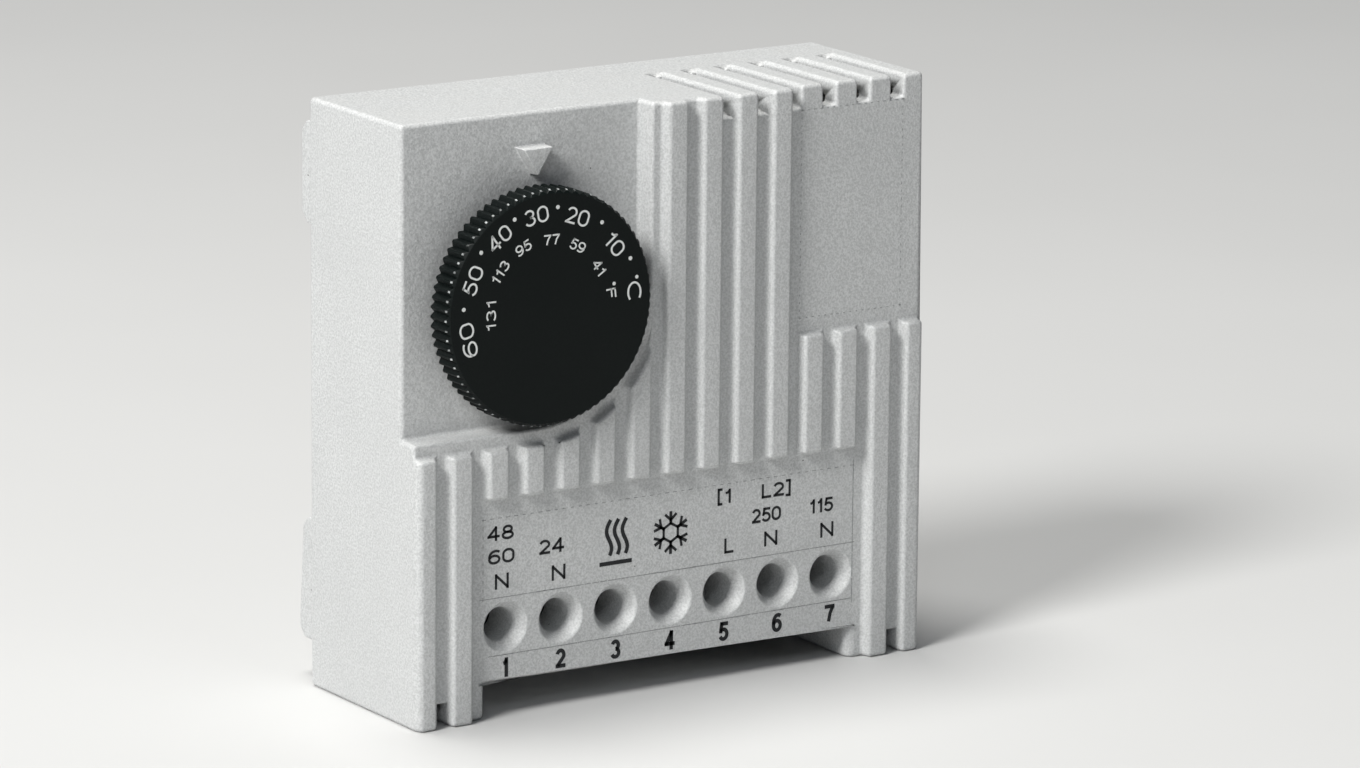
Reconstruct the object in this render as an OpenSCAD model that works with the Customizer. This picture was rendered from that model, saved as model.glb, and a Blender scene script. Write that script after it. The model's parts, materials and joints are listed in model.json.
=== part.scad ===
// Thermostat for a 35 mm mounting rail, with a setting dial and seven screw terminals.
// The front faces -Y, X runs left to right and Z runs up from the feet.
// Depths are measured back from the plane of the rib fronts.

/* [Housing] */
// Width of the housing
housing_w = 71; // [70:0.5:78]
// Height of the housing
housing_h = 71; // [70:0.5:76]
// Depth from the rib fronts to the back plane
housing_d = 24.6; // [24.6:0.2:30]
// Thickness of the moulded walls
wall = 1.9; // [1.6:0.1:2]
// Thickness of the inset back plate
plate_t = 2; // [1.6:0.1:2.2]
// Gap round the inset back plate
plate_gap = 0.1; // [0.05:0.05:0.2]

/* [Front] */
// Number of ribs across the front
rib_count = 15; // [14:1:15]
// Height of a rib above the front wall
rib_h = 1.2; // [0.8:0.1:1.4]
// Width of a rib at its front
rib_front_w = 2.6; // [2.2:0.1:2.8]
// Draft of a rib on each side
rib_draft = 0.35; // [0.1:0.05:0.4]
// Height of the short ribs' lower ends above the feet
rib_foot_z = 26.5; // [25:0.5:28]
// Height of the label area's lower edge above the feet
label_z = 41; // [38:0.5:44]
// Distance of the label area's left edge from the left side
label_left = 52.8; // [52.4:0.1:53.2]
// Distance of the vented part's left edge from the left side
vent_left = 40.3; // [39.5:0.1:41]
// Width of a vent slot
slot_w = 1.8; // [1.4:0.1:1.9]
// How far a vent slot runs back along the top
slot_run = 16.5; // [12:0.5:18]
// How far a vent slot runs down the front
slot_drop = 2.8; // [2.4:0.1:4]
// How far the sill under the vent slots reaches behind the front wall
sill_run = 0.8; // [0.4:0.1:1.2]
// Height of the vent notch between the ribs of a leg
notch_h = 2.7; // [1.5:0.1:3.5]

/* [Dial] */
// Distance of the dial axis from the left side
dial_left = 16.9; // [16.6:0.1:18]
// Distance of the dial axis from the top
dial_top = 22.2; // [22.2:0.1:23.5]
// Depth of the dial recess behind the front wall
recess_depth = 2.7; // [2:0.1:2.8]
// Diameter of the setting knob over its teeth
knob_d = 28; // [26:0.5:29]
// How far the knob stands proud of the ribs
knob_proud = 1.6; // [1:0.1:2.5]
// Depth of the knob's rim
knob_rim = 3.8; // [3.8:0.1:5]
// Number of teeth round the knob
knob_teeth = 76; // [60:2:90]
// Depth of a knob tooth
tooth_h = 0.45; // [0.3:0.05:0.7]
// Gap round the knob inside the recess
recess_gap = 0.8; // [0.8:0.1:1.6]
// Width of the flat strip between the recess and the ribs
recess_strip = 1.7; // [1.4:0.1:2]
// How far the recess's straight right side stands out past its arc
recess_side = 0.8; // [0.4:0.1:0.9]
// Diameter of the dial spindle
spindle_d = 5; // [4:0.5:5]
// Width of the pointer above the dial
pointer_w = 3.9; // [3:0.1:5]
// Height of the pointer's face
pointer_h = 3.2; // [2.6:0.1:3.6]
// How far the pointer stands out of the recess
pointer_out = 1.9; // [1:0.1:3.2]
// How far the pointer sits to the right of the dial axis
pointer_shift = 0.5; // [0:0.1:0.8]

/* [Terminals] */
// Distance between neighbouring terminals
term_pitch = 7.65; // [7.6:0.05:8]
// Height of the terminal screws above the feet
term_z = 10.85; // [10.8:0.05:11.4]
// Diameter of a screwdriver hole
driver_d = 4; // [3.5:0.1:4.2]
// Diameter of the funnel round a screwdriver hole
funnel_d = 6; // [5:0.1:6.6]
// Depth of the funnel
funnel_depth = 1.5; // [1:0.1:1.7]
// Room between a terminal clamp and the back plate
clamp_room = 0.3; // [0.3:0.05:0.6]
// Diameter of a terminal screw
screw_d = 3; // [2.5:0.1:3]
// Room for the wire behind the terminal bar
wire_space = 4.3; // [4.2:0.05:4.4]
// Inner width of a terminal clamp
clamp_inner_w = 4.6; // [4.4:0.1:4.7]
// Travel of a terminal clamp
clamp_travel = 3.2; // [2.5:0.1:3.4]
// Height of the cable space under the terminals
cable_h = 4.3; // [4.2:0.05:4.4]
// Width of each leg
leg_w = 10; // [9.5:0.1:10.3]
// Radius of a leg's inner front corner
leg_corner_r = 1.2; // [0.6:0.1:1.6]

/* [Rail clip] */
// Width of the mounting rail
rail_w = 35; // [34.8:0.1:35.2]
// Thickness of the mounting rail's edge
rail_t = 1; // [0.8:0.1:1.2]
// Height of the rail's centre line above the middle of the housing
rail_rise = 1.8; // [1.5:0.1:2.5]
// Clearance at each edge of the rail
rail_gap = 0.3; // [0.2:0.05:0.5]
// How far the fixed hook reaches behind the back plane
hook_reach = 5.2; // [4.4:0.1:5.6]
// How far the lower blocks reach behind the back plane
block_reach = 6.1; // [5.8:0.1:7]
// Distance of the fixed hook's upper edge from the top
hook_top = 3.6; // [3:0.1:5]
// Height of the lower blocks above the cable space
block_rise = 0.2; // [0.1:0.1:0.8]
// How far a lip grips over the rail's edge
lip_h = 1.8; // [1.4:0.1:2]
// Width of the sliding latch
latch_w = 34; // [30:0.5:38]
// Travel of the sliding latch
latch_travel = 2.2; // [2:0.1:2.3]
// Wire thickness of the latch spring
spring_wire = 0.5; // [0.4:0.05:0.6]
// Outer diameter of the latch spring
spring_d = 4; // [3.6:0.1:4.2]
// Least rise of one curl of the latch spring
curl_rise = 1.1; // [1:0.05:1.3]

/* [Board] */
// Gap between the circuit board and the bosses at its sides
board_side = 0.3; // [0.2:0.1:0.6]
// Distance of the circuit board's upper edge from the top
board_drop = 5; // [4.6:0.1:5.4]
// Thickness of the circuit board
board_t = 1.6; // [1.2:0.1:1.8]
// Height of the board's lower edge above the feet
board_z = 18.3; // [18:0.1:18.6]

/* [Switch] */
// Distance of the bimetal strip's end from the board's edge
strip_end = 1; // [0.6:0.1:2]
// Width of the bimetal strip
strip_w = 6; // [5:0.1:6.2]
// Thickness of the bimetal strip
strip_t = 0.6; // [0.4:0.1:0.8]
// Length of the setting lever's follower arm
lever_arm = 12; // [11.6:0.1:12.4]
// Radius of the setting cam with the dial at rest
cam_r = 7.2; // [7:0.1:7.3]
// Rise of the cam over the dial's whole turn
cam_rise = 0.7; // [0.5:0.02:0.72]
// Distance of the contact blade's end from the board's edge
blade_end = 0.4; // [0.4:0.1:1]
// Thickness of the contact blade
blade_t = 0.6; // [0.5:0.05:0.8]
// Diameter of the contact faces
contact_d = 2.6; // [2.2:0.1:2.8]
// Open gap at each fixed contact with the blade centred
contact_gap = 0.5; // [0.45:0.05:0.7]

/* [Hidden] */
TERMINALS = [for (k = [1:7]) k];

// Depths of the front
half_w = housing_w / 2;
front_y = knob_proud - (knob_proud + housing_d + block_reach) / 2;
back_y = front_y + housing_d;
// Overrun of a cut, lap of joined solids, gap of parts that pass, gap of parts that fit
over = 1;
root = 0.5;
run_gap = 0.3;
fit_gap = 0.05;
base_in = rib_h + wall;
dial_d = rib_h + recess_depth;
dial_in = dial_d + wall;
plate_d = housing_d - plate_t;

// Front outlines
rib_pitch = (housing_w - rib_front_w) / (rib_count - 1);
rib_end_draft = 0.1;
label_x = label_left - half_w;
cable_w = housing_w - 2 * leg_w;
leg_in = cable_w / 2 + wall;
shelf_z = cable_h + wall;
notch_run = base_in + wall;

// Dial
dial_x = dial_left - half_w;
dial_z = housing_h - dial_top;
knob_r = knob_d / 2;
recess_r = knob_r + recess_gap;
recess_draft = 0.15;
rib_clear_r = recess_r + recess_strip;
pointer_share = 0.93;
pointer_gap = 0.95;
knob_chamfer = 0.25;
knob_wall = 1.7;
knob_face_t = 1.8;
hub_r = 4.6;
knob_d1 = knob_rim - knob_proud;
hub_d1 = dial_d - root;
spindle_r = spindle_d / 2;
spindle_d0 = knob_face_t - knob_proud;
flat_share = 0.76;
flat_r = flat_share * spindle_r;
bush_r = 4;
flange_r = 6.2;
flange_t = 1.2;
bush_tail = 1.5;
bush_end = dial_in + flange_t + bush_tail;
ring_d0 = bush_end + run_gap;
ring_t = 0.5;
ring_r = 4.3;
groove_share = 0.82;
groove_r = groove_share * spindle_r;
ring_mouth = 3.6;

// Setting cam, counted in degrees clockwise from the top as seen from the front
cam_d0 = ring_d0 + ring_t + root;
cam_t = 2;
cam_d1 = cam_d0 + cam_t;
cam_hub_r = 4;
cam_hub_l = 0.8;
cam_end = cam_d1 + cam_hub_l;
cam_low_deg = -79;
cam_high_deg = 115;
cam_step_deg = 5;
dial_low_deg = -64;
dial_high_deg = 100;
cam_gain = cam_rise / (dial_high_deg - dial_low_deg);
half_turn_deg = 180;
follower_deg = 90;
finger_deg = 207;
finger_w = 2.4;
finger_r = 8.9;
peg_r = 1.2;
peg_ring_r = 9.3;
peg_deg = asin((finger_w / 2 + peg_r + run_gap) / peg_ring_r);
pegs_deg = [finger_deg + dial_low_deg - peg_deg, finger_deg + dial_high_deg + peg_deg];
peg_end = cam_d1 + run_gap;
spindle_d1 = cam_end + run_gap;

// Terminals, placed from the back plate forwards
term_count = len(TERMINALS);
tube_t = 1.2;
tube_gap = 0.2;
comb_front_t = 2.3;
head_lap = 0.15;
head_r = driver_d / 2 + head_lap;
head_h = 2;
drive_w = 0.8;
drive_depth = 0.9;
bar_t = 1;
bar_lap = 2.6;
bar_w = clamp_inner_w - 2 * run_gap;
clamp_wall = 0.8;
clamp_front_t = 1.4;
clamp_back_t = 0.9;
clamp_h = 5.5;
clamp_w = clamp_inner_w + 2 * clamp_wall;
clamp_d1 = plate_d - clamp_room;
clamp_back_d = clamp_d1 - clamp_back_t;
bar_d1 = clamp_back_d - wire_space;
bar_d0 = bar_d1 - bar_t;
clamp_d0 = bar_d0 - run_gap - clamp_front_t;
shank_d1 = bar_d0 - run_gap;
comb_in = shank_d1 - clamp_travel - clamp_front_t - run_gap - root;
comb_d0 = comb_in - comb_front_t;
head_d0 = comb_in - head_h;
tube_end = comb_d0 - tube_gap;
partition_t = 0.9;
cell_gap = 0.5;
cell_z0 = term_z - clamp_h / 2 - cell_gap;
cell_z1 = term_z + clamp_h / 2 + cell_gap;
comb_top_t = 1.5;
comb_z1 = cell_z1 + comb_top_t;
comb_w = term_count * term_pitch + partition_t;
entry_w = clamp_inner_w;
entry_d0 = bar_d1 - fit_gap;
entry_d1 = clamp_back_d;

// Rail clip
plate_half = half_w - wall - plate_gap;
rail_z = housing_h / 2 + rail_rise;
rail_top = rail_z + rail_w / 2 + rail_gap;
rail_low = rail_z - rail_w / 2 - rail_gap;
clip_chamfer = 1.2;
groove_gap = 0.4;
lip_groove = rail_t + groove_gap;
lip_x0 = 8;
lip_x1 = 22;
block_z = cable_h + block_rise;
lap_z = shelf_z + plate_gap + root;
hook_z1 = housing_h - hook_top;
latch_half = latch_w / 2;
latch_z = latch_travel + clip_chamfer;
tongue_w = 1.3;
tongue_t = 1;
tongue_d = housing_d + hook_reach / 2 - tongue_t / 2;
lug_w = 3.6;
lug_h = 1.5;
lug_rise = 0.7;
lug_z = shelf_z + plate_gap + lug_rise;
lug_out = hook_reach - root;
window_gap = 1;
window_w = spring_d + 2 * window_gap;
window_z0 = lug_z - run_gap;
window_top = 3.3;
window_z1 = rail_low - window_top;
tool_w = 5;
tool_h = 1.2;
tool_depth = 2;
spring_z0 = lug_z + lug_h + spring_wire / 2;
spring_z1 = window_z1 - spring_wire / 2 - fit_gap;
spring_r = (spring_d - spring_wire) / 2;
spring_y = back_y + lug_out - spring_d / 2;
rings_per_curl = 8;
ring_sides = 6;

// Cover and board screws
boss_r = 2.5;
boss_share = 1.35;
boss_inset = wall + boss_share * boss_r;
boss_x = half_w - boss_inset;
boss_low = 24.5;
boss_drop = 20.5;
boss_high = housing_h - boss_drop;
cover_screw_r = 1.1;
cover_screw_l = 9;
cover_head_r = 2.2;
cover_head_h = 1.3;
board_d0 = bar_d1;
board_d1 = board_d0 + board_t;
board_x = boss_x - boss_r - board_side;
board_top = housing_h - board_drop;
post_r = 2.6;
post_inset = 3.2;
post_low = 6.4;
board_screw_r = 0.9;
board_screw_l = 4.5;
board_head_r = 1.9;
board_head_h = 1.3;

// Switch
pin_r = 1.2;
tip_r = 1.2;
lever_t = 1.2;
lever_d0 = cam_d0 + (cam_t - lever_t) / 2;
lever_d1 = lever_d0 + lever_t;
tip_x = dial_x + cam_r + run_gap + tip_r;
pivot_z = dial_z + lever_arm;
eye_r = 2.4;
lever_run = 9.4;
flange_off = 2.5;
flange_x0 = tip_x + flange_off;
flange_x1 = tip_x + lever_run;
seat_t = 0.8;
strip_z = pivot_z + tip_r + seat_t;
strip_d0 = (dial_in + board_d0 - strip_w) / 2;
strip_x1 = board_x - strip_end;
rivet_r = 0.8;
rivet_head_r = 1.1;
rivet_head_h = 0.6;
rivet_inset = 1.4;
rivet_pitch = 2.6;
rivet_d = strip_d0 + strip_w / 2;
rivet_x = [flange_x1 - rivet_inset - rivet_pitch, flange_x1 - rivet_inset];
arm_x1 = rivet_x[0] - rivet_head_r - run_gap;
adjust_inset = 5;
adjust_x = strip_x1 - adjust_inset;
adjust_r = 1;
adjust_head_r = 1.8;
adjust_head_h = 1;
adjust_below = 3.9;
adjust_above = 1;
blade_off = 11.8;
blade_x = tip_x + blade_off;
blade_drop = 4;
blade_z = pivot_z - blade_drop;
blade_w = 4;
blade_d = strip_d0 + strip_w / 2;
blade_x1 = board_x - blade_end;
blade_pin_r = 0.8;
curl_t = 0.75;
collar_r = 1.4;
collar_t = 0.8;
contact_inset = 1.8;
contact_x = blade_x1 - contact_inset;
contact_head_h = 0.7;
blade_half = blade_t / 2 + contact_head_h + contact_gap;
contact_shank_r = 0.6;
arm_t = 0.8;
arm_w = 4;
foot_h = 6.3;
cooling_foot_h = 1.8;
magnet_w = 3.5;
magnet_h = 3.8;
magnet_gap = 1.4;
magnet_top = blade_z - blade_t / 2 - magnet_gap;
bracket_w = 6;
magnet_x = (blade_x + bracket_w / 2 + contact_x - arm_w / 2) / 2;
bracket_h = 9;

// Feedback resistors
resistor_r = 1.7;
resistor_l = 8;
resistor_pitch = 5;
resistor_x = 8;
resistor_rise = 9;
resistor_z = board_z + resistor_rise;
resistor_below = 8.4;
resistor_count = 1 + floor((magnet_top - magnet_h - resistor_below - resistor_z) / resistor_pitch);
lead_r = 0.35;
bend_r = 0.45;
lead_out = 1.6;

$fn = 64;

grey = "#c9cbca";
black = "#15191a";
steel = "#b9bcc0";
brass = "#c8a758";

function rib_x(k) = -half_w + rib_front_w / 2 + (k - 1) * rib_pitch;
function gap_x(k) = rib_x(k) + rib_pitch / 2;
function term_x(k) = (k - (term_count + 1) / 2) * term_pitch;
function around(x, z, r, a) = [x + r * sin(a), z + r * cos(a)];

// An outline in X and Z, drawn out between two depths
module slab(d0, d1) {
    translate([0, front_y + d1, 0])
        rotate([90, 0, 0])
            linear_extrude(d1 - d0) children();
}

// A round bar along the depth
module rod(x, z, r, d0, d1) {
    slab(d0, d1) translate([x, z]) circle(r);
}

// A cone along the depth
module cone(x, z, r0, r1, d0, d1) {
    translate([x, front_y + d0, z])
        rotate([-90, 0, 0])
            cylinder(h = d1 - d0, r1 = r0, r2 = r1);
}

// A box between two places along X, two depths and two heights
module block(x0, x1, d0, d1, z0, z1) {
    slab(d0, d1) translate([x0, z0]) square([x1 - x0, z1 - z0]);
}

// An outline in Y and Z, drawn out along X
module across(x0, x1) {
    translate([x0, 0, 0])
        rotate([90, 0, 90])
            linear_extrude(x1 - x0) children();
}

// The inside of the shell as seen from the front, drawn in by a gap
module inner_outline(g) {
    x1 = half_w - wall - g;
    x0 = leg_in + g;
    z0 = wall + g;
    z1 = shelf_z + g;
    z2 = housing_h - wall - g;
    polygon([[-x1, z0], [-x0, z0], [-x0, z1], [x0, z1], [x0, z0], [x1, z0], [x1, z2], [-x1, z2]]);
}

// The space round the dial, open to the left and the top, of radius r0 at depth d0 and r1 at d1,
// with its straight right side a step further out
module dial_space(r0, r1, d0, d1, side) {
    cone(dial_x, dial_z, r0, r1, d0, d1);
    rod(dial_x, dial_z, r0, d0 - over, d0);
    across(-half_w - over, dial_x)
        polygon([
            [front_y + d0 - over, dial_z - r0],
            [front_y + d0, dial_z - r0],
            [front_y + d1, dial_z - r1],
            [front_y + d1, housing_h + over],
            [front_y + d0 - over, housing_h + over]
        ]);
    translate([0, 0, dial_z])
        linear_extrude(dial_top + over)
            polygon([
                [dial_x, front_y + d0 - over],
                [dial_x + r0 + side, front_y + d0 - over],
                [dial_x + r0 + side, front_y + d0],
                [dial_x + r1 + side, front_y + d1],
                [dial_x, front_y + d1]
            ]);
}

// One rib with drafted sides, whose foot ends flush with the housing's own side
module rib(k) {
    x = rib_x(k);
    foot = rib_front_w / 2 + rib_draft;
    x0 = max(-half_w, x - foot);
    x1 = min(half_w, x + foot);
    top0 = max(x0 + rib_draft, x - rib_front_w / 2);
    top1 = min(x1 - rib_draft, x + rib_front_w / 2);
    z0 = abs(x) > cable_w / 2 ? 0 : rib_foot_z;
    translate([0, 0, z0])
        linear_extrude(housing_h - z0)
            polygon([
                [x0, front_y + rib_h + root],
                [x0, front_y + rib_h],
                [top0, front_y],
                [top1, front_y],
                [x1, front_y + rib_h],
                [x1, front_y + rib_h + root]
            ]);
}

module ribs() {
    difference() {
        for (k = [1:rib_count]) rib(k);
        dial_space(rib_clear_r + rib_end_draft, rib_clear_r, 0, rib_h, 0);
        across(label_x, half_w + over)
            polygon([
                [front_y - over, label_z - rib_end_draft],
                [front_y, label_z - rib_end_draft],
                [front_y + rib_h, label_z],
                [front_y + rib_h, housing_h + over],
                [front_y - over, housing_h + over]
            ]);
    }
}

// The hollow of the shell, stepped back behind the dial recess
module cavity() {
    difference() {
        slab(base_in, housing_d + over) inner_outline(0);
        dial_space(recess_r + wall, recess_r - recess_draft + wall, base_in, dial_in, recess_side);
    }
}

module pointer() {
    w = pointer_w / pointer_share;
    h = pointer_h / pointer_share;
    translate([
        dial_x + pointer_shift,
        front_y + dial_d + root,
        dial_z + knob_r + pointer_gap + pointer_h * 2 / 3
    ])
        rotate([90, 0, 0])
            linear_extrude(height = pointer_out + root, scale = pointer_share)
                polygon([[-w / 2, h / 3], [w / 2, h / 3], [0, -h * 2 / 3]]);
}

// The bar that thickens the front wall under the vent slots
module vent_sill() {
    block(vent_left - half_w, half_w - root, base_in - root, base_in + sill_run,
          housing_h - slot_drop - root, housing_h - root);
}

// What is cut off to round a leg's inner front corner
module leg_corner() {
    translate([cable_w / 2, front_y + rib_h, -over])
        linear_extrude(cable_h + over)
            difference() {
                translate([-over, -over]) square(leg_corner_r + over);
                translate([leg_corner_r, leg_corner_r]) circle(leg_corner_r);
            }
}

module cover_bosses() {
    for (x = [-boss_x, boss_x])
        for (z = [boss_low, boss_high]) {
            behind_dial = x < dial_x && z > dial_z - recess_r;
            rod(x, z, boss_r, (behind_dial ? dial_in : base_in) - root, plate_d);
        }
}

module front_cover() color(grey) {
    difference() {
        union() {
            difference() {
                union() {
                    block(-half_w, half_w, rib_h, housing_d, 0, housing_h);
                    ribs();
                }
                cavity();
                dial_space(recess_r, recess_r - recess_draft, rib_h, dial_d, recess_side);
            }
            pointer();
            cover_bosses();
            vent_sill();
            for (a = pegs_deg) {
                p = around(dial_x, dial_z, peg_ring_r, a);
                rod(p[0], p[1], peg_r, dial_in - root, peg_end);
            }
            for (k = TERMINALS)
                rod(term_x(k), term_z, driver_d / 2 + tube_t, base_in - root, tube_end);
        }
        block(-cable_w / 2, cable_w / 2, -over, housing_d + over, -over, cable_h);
        for (side = [0, 1])
            mirror([side, 0, 0]) leg_corner();
        rod(dial_x, dial_z, bush_r, dial_d - over, dial_in + over);
        for (k = TERMINALS) {
            x = term_x(k);
            rod(x, term_z, driver_d / 2, -over, tube_end + over);
            cone(x, term_z, funnel_d / 2, driver_d / 2, rib_h, rib_h + funnel_depth);
            block(x - entry_w / 2, x + entry_w / 2, entry_d0, entry_d1, cable_h - over, shelf_z + over);
        }
        for (k = [1:rib_count - 1]) {
            x = gap_x(k);
            if (x > vent_left - half_w)
                block(x - slot_w / 2, x + slot_w / 2, -over, slot_run,
                      housing_h - slot_drop, housing_h + over);
        }
        for (x = [gap_x(1), gap_x(rib_count - 1)])
            block(x - slot_w / 2, x + slot_w / 2, -over, notch_run, -over, notch_h);
        for (x = [-boss_x, boss_x])
            for (z = [boss_low, boss_high])
                rod(x, z, cover_screw_r, housing_d - cover_head_h - cover_screw_l, housing_d + over);
    }
}

// The places of the four board posts
module at_posts() {
    for (x = [-board_x + post_inset, board_x - post_inset])
        for (z = [board_z + post_low, board_top - post_inset])
            translate([x, 0, z]) children();
}

module fixed_hook() {
    across(-plate_half, plate_half)
        polygon([
            [back_y - root, rail_top],
            [back_y + hook_reach - clip_chamfer, rail_top],
            [back_y + hook_reach, rail_top + clip_chamfer],
            [back_y + hook_reach, hook_z1 - clip_chamfer],
            [back_y + hook_reach - clip_chamfer, hook_z1],
            [back_y - root, hook_z1]
        ]);
    for (side = [0, 1])
        mirror([side, 0, 0])
            block(lip_x0, lip_x1, housing_d + lip_groove, housing_d + hook_reach - clip_chamfer,
                  rail_top - lip_h, rail_top + root);
}

module lower_block() {
    difference() {
        across(latch_half + run_gap, plate_half)
            polygon([
                [back_y, block_z],
                [back_y + block_reach - clip_chamfer, block_z],
                [back_y + block_reach, block_z + clip_chamfer],
                [back_y + hook_reach, rail_low - clip_chamfer],
                [back_y + hook_reach - clip_chamfer, rail_low],
                [back_y - root, rail_low],
                [back_y - root, lap_z],
                [back_y, lap_z]
            ]);
        block(latch_half, latch_half + tongue_w + run_gap, tongue_d - run_gap,
              tongue_d + tongue_t + run_gap, block_z - over, rail_low + over);
    }
}

module rear_base() color(grey) {
    difference() {
        union() {
            slab(plate_d, housing_d) inner_outline(plate_gap);
            fixed_hook();
            for (side = [0, 1])
                mirror([side, 0, 0]) lower_block();
            block(-lug_w / 2, lug_w / 2, housing_d - root, housing_d + lug_out, lug_z, lug_z + lug_h);
            at_posts() rod(0, 0, post_r, board_d1, plate_d + root);
        }
        at_posts() rod(0, 0, board_screw_r, board_d1 - over, board_d0 + board_screw_l);
        for (x = [-boss_x, boss_x])
            for (z = [boss_low, boss_high]) {
                rod(x, z, cover_screw_r, plate_d - over, housing_d + over);
                cone(x, z, cover_screw_r, cover_head_r, housing_d - cover_head_h, housing_d);
            }
    }
}

module cover_screws() color(steel) {
    for (x = [-boss_x, boss_x])
        for (z = [boss_low, boss_high])
            difference() {
                union() {
                    cone(x, z, cover_screw_r, cover_head_r, housing_d - cover_head_h, housing_d);
                    rod(x, z, cover_screw_r, housing_d - cover_head_h - cover_screw_l, housing_d - root);
                }
                block(x - cover_head_r, x + cover_head_r, housing_d - root, housing_d + over,
                      z - drive_w / 3, z + drive_w / 3);
            }
}

module rail_latch() color(grey) {
    difference() {
        union() {
            across(-latch_half, latch_half)
                polygon([
                    [back_y + run_gap, latch_z],
                    [back_y + block_reach - clip_chamfer, latch_z],
                    [back_y + block_reach, latch_z + clip_chamfer],
                    [back_y + hook_reach, rail_low],
                    [back_y + hook_reach - clip_chamfer, rail_low + lip_h],
                    [back_y + lip_groove, rail_low + lip_h],
                    [back_y + lip_groove, rail_low],
                    [back_y + run_gap, rail_low]
                ]);
            for (side = [0, 1])
                mirror([side, 0, 0])
                    block(latch_half - root, latch_half + tongue_w, tongue_d, tongue_d + tongue_t,
                          block_z + latch_travel, rail_low - root);
        }
        block(-window_w / 2, window_w / 2, housing_d - over, housing_d + block_reach + over,
              window_z0, window_z1);
        block(-tool_w / 2, tool_w / 2, housing_d + block_reach - tool_depth,
              housing_d + block_reach + over, latch_z + clip_chamfer - tool_h / 2,
              latch_z + clip_chamfer + tool_h / 2);
    }
}

// The latch spring: one unbroken wire with a ring of points every eighth of a curl
spring_curls = floor((spring_z1 - spring_z0) / curl_rise);
spring_rings = spring_curls * rings_per_curl;
spring_pitch = (spring_z1 - spring_z0) / spring_curls;
function spring_axis(i) = let (a = 360 * i / rings_per_curl)
    [spring_r * cos(a), spring_y + spring_r * sin(a),
     spring_z0 + (spring_z1 - spring_z0) * i / spring_rings];
function spring_ring(i) = let (
        a = 360 * i / rings_per_curl,
        lean = atan2(spring_pitch, 360 * spring_r * PI / 180),
        out = [cos(a), sin(a), 0],
        up = [sin(a) * sin(lean), -cos(a) * sin(lean), cos(lean)])
    [for (j = [0:ring_sides - 1]) let (b = 360 * j / ring_sides)
        spring_axis(i) + spring_wire / 2 * (cos(b) * out + sin(b) * up)];
spring_points = [for (i = [0:spring_rings]) each spring_ring(i)];
spring_least = min([for (i = [0:rings_per_curl - 1], k = [rings_per_curl - 2:2 * rings_per_curl])
    min([for (p = spring_ring(i), q = spring_ring(i + k)) norm(p - q)])]);
echo(spring_least_gap = spring_least);

module latch_spring() color(steel) {
    last = spring_rings * ring_sides;
    polyhedron(spring_points, concat(
        [for (i = [0:spring_rings - 1], j = [0:ring_sides - 1])
            let (a = i * ring_sides, n = (j + 1) % ring_sides)
            each [[a + j, a + n, a + ring_sides + j], [a + n, a + ring_sides + n, a + ring_sides + j]]],
        [for (j = [1:ring_sides - 2]) [0, j + 1, j]],
        [for (j = [1:ring_sides - 2]) [last, last + j, last + j + 1]]));
}

// The round spindle with its flat
module spindle_outline() {
    translate([dial_x, dial_z])
        intersection() {
            circle(spindle_r);
            translate([-spindle_r, -spindle_r]) square([spindle_d, spindle_r + flat_r]);
        }
}

module knob_outline() {
    translate([dial_x, dial_z])
        polygon([for (i = [0:2 * knob_teeth - 1])
            let (a = 180 * i / knob_teeth, r = i % 2 == 0 ? knob_r : knob_r - tooth_h)
            [r * sin(a), r * cos(a)]]);
}

module dial_knob() color(black) {
    difference() {
        union() {
            intersection() {
                slab(-knob_proud, knob_d1) knob_outline();
                union() {
                    cone(dial_x, dial_z, knob_r - knob_chamfer, knob_r, -knob_proud,
                         knob_chamfer - knob_proud);
                    rod(dial_x, dial_z, knob_r + over, knob_chamfer - knob_proud, knob_d1 + over);
                }
            }
            rod(dial_x, dial_z, hub_r, spindle_d0 - root, hub_d1);
        }
        difference() {
            rod(dial_x, dial_z, knob_r - tooth_h - knob_wall, spindle_d0, knob_d1 + over);
            rod(dial_x, dial_z, hub_r, spindle_d0 - over, hub_d1 + over);
        }
        slab(spindle_d0, hub_d1 + over) spindle_outline();
    }
}

module dial_spindle() color(steel) {
    slab(spindle_d0, hub_d1) spindle_outline();
    rod(dial_x, dial_z, spindle_r, hub_d1, ring_d0);
    rod(dial_x, dial_z, groove_r, ring_d0, ring_d0 + ring_t);
    rod(dial_x, dial_z, spindle_r, ring_d0 + ring_t, cam_d0);
    slab(cam_d0, spindle_d1) spindle_outline();
}

module spindle_bush() color(brass) {
    difference() {
        union() {
            rod(dial_x, dial_z, bush_r, dial_d, bush_end);
            rod(dial_x, dial_z, flange_r, dial_in, dial_in + flange_t);
        }
        rod(dial_x, dial_z, spindle_r + fit_gap, dial_d - over, bush_end + over);
    }
}

module retaining_ring() color(steel) {
    difference() {
        rod(dial_x, dial_z, ring_r, ring_d0, ring_d0 + ring_t);
        rod(dial_x, dial_z, groove_r, ring_d0 - over, ring_d0 + ring_t + over);
        block(dial_x - ring_mouth / 2, dial_x + ring_mouth / 2, ring_d0 - over,
              ring_d0 + ring_t + over, dial_z - ring_r - over, dial_z);
    }
}

module setting_cam() color("#e4e2d8") {
    difference() {
        union() {
            slab(cam_d0, cam_d1)
                polygon([for (a = [-half_turn_deg:cam_step_deg:half_turn_deg - cam_step_deg])
                    around(dial_x, dial_z,
                           cam_r - cam_gain * max(-cam_high_deg, min(-cam_low_deg, a)),
                           follower_deg + a)]);
            rod(dial_x, dial_z, cam_hub_r, cam_d1 - root, cam_end);
            translate([dial_x, 0, dial_z])
                rotate([0, finger_deg, 0])
                    block(-finger_w / 2, finger_w / 2, cam_d0, cam_d1, cam_hub_r, finger_r);
        }
        slab(cam_d0 - over, cam_end + over) spindle_outline();
    }
}

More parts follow.
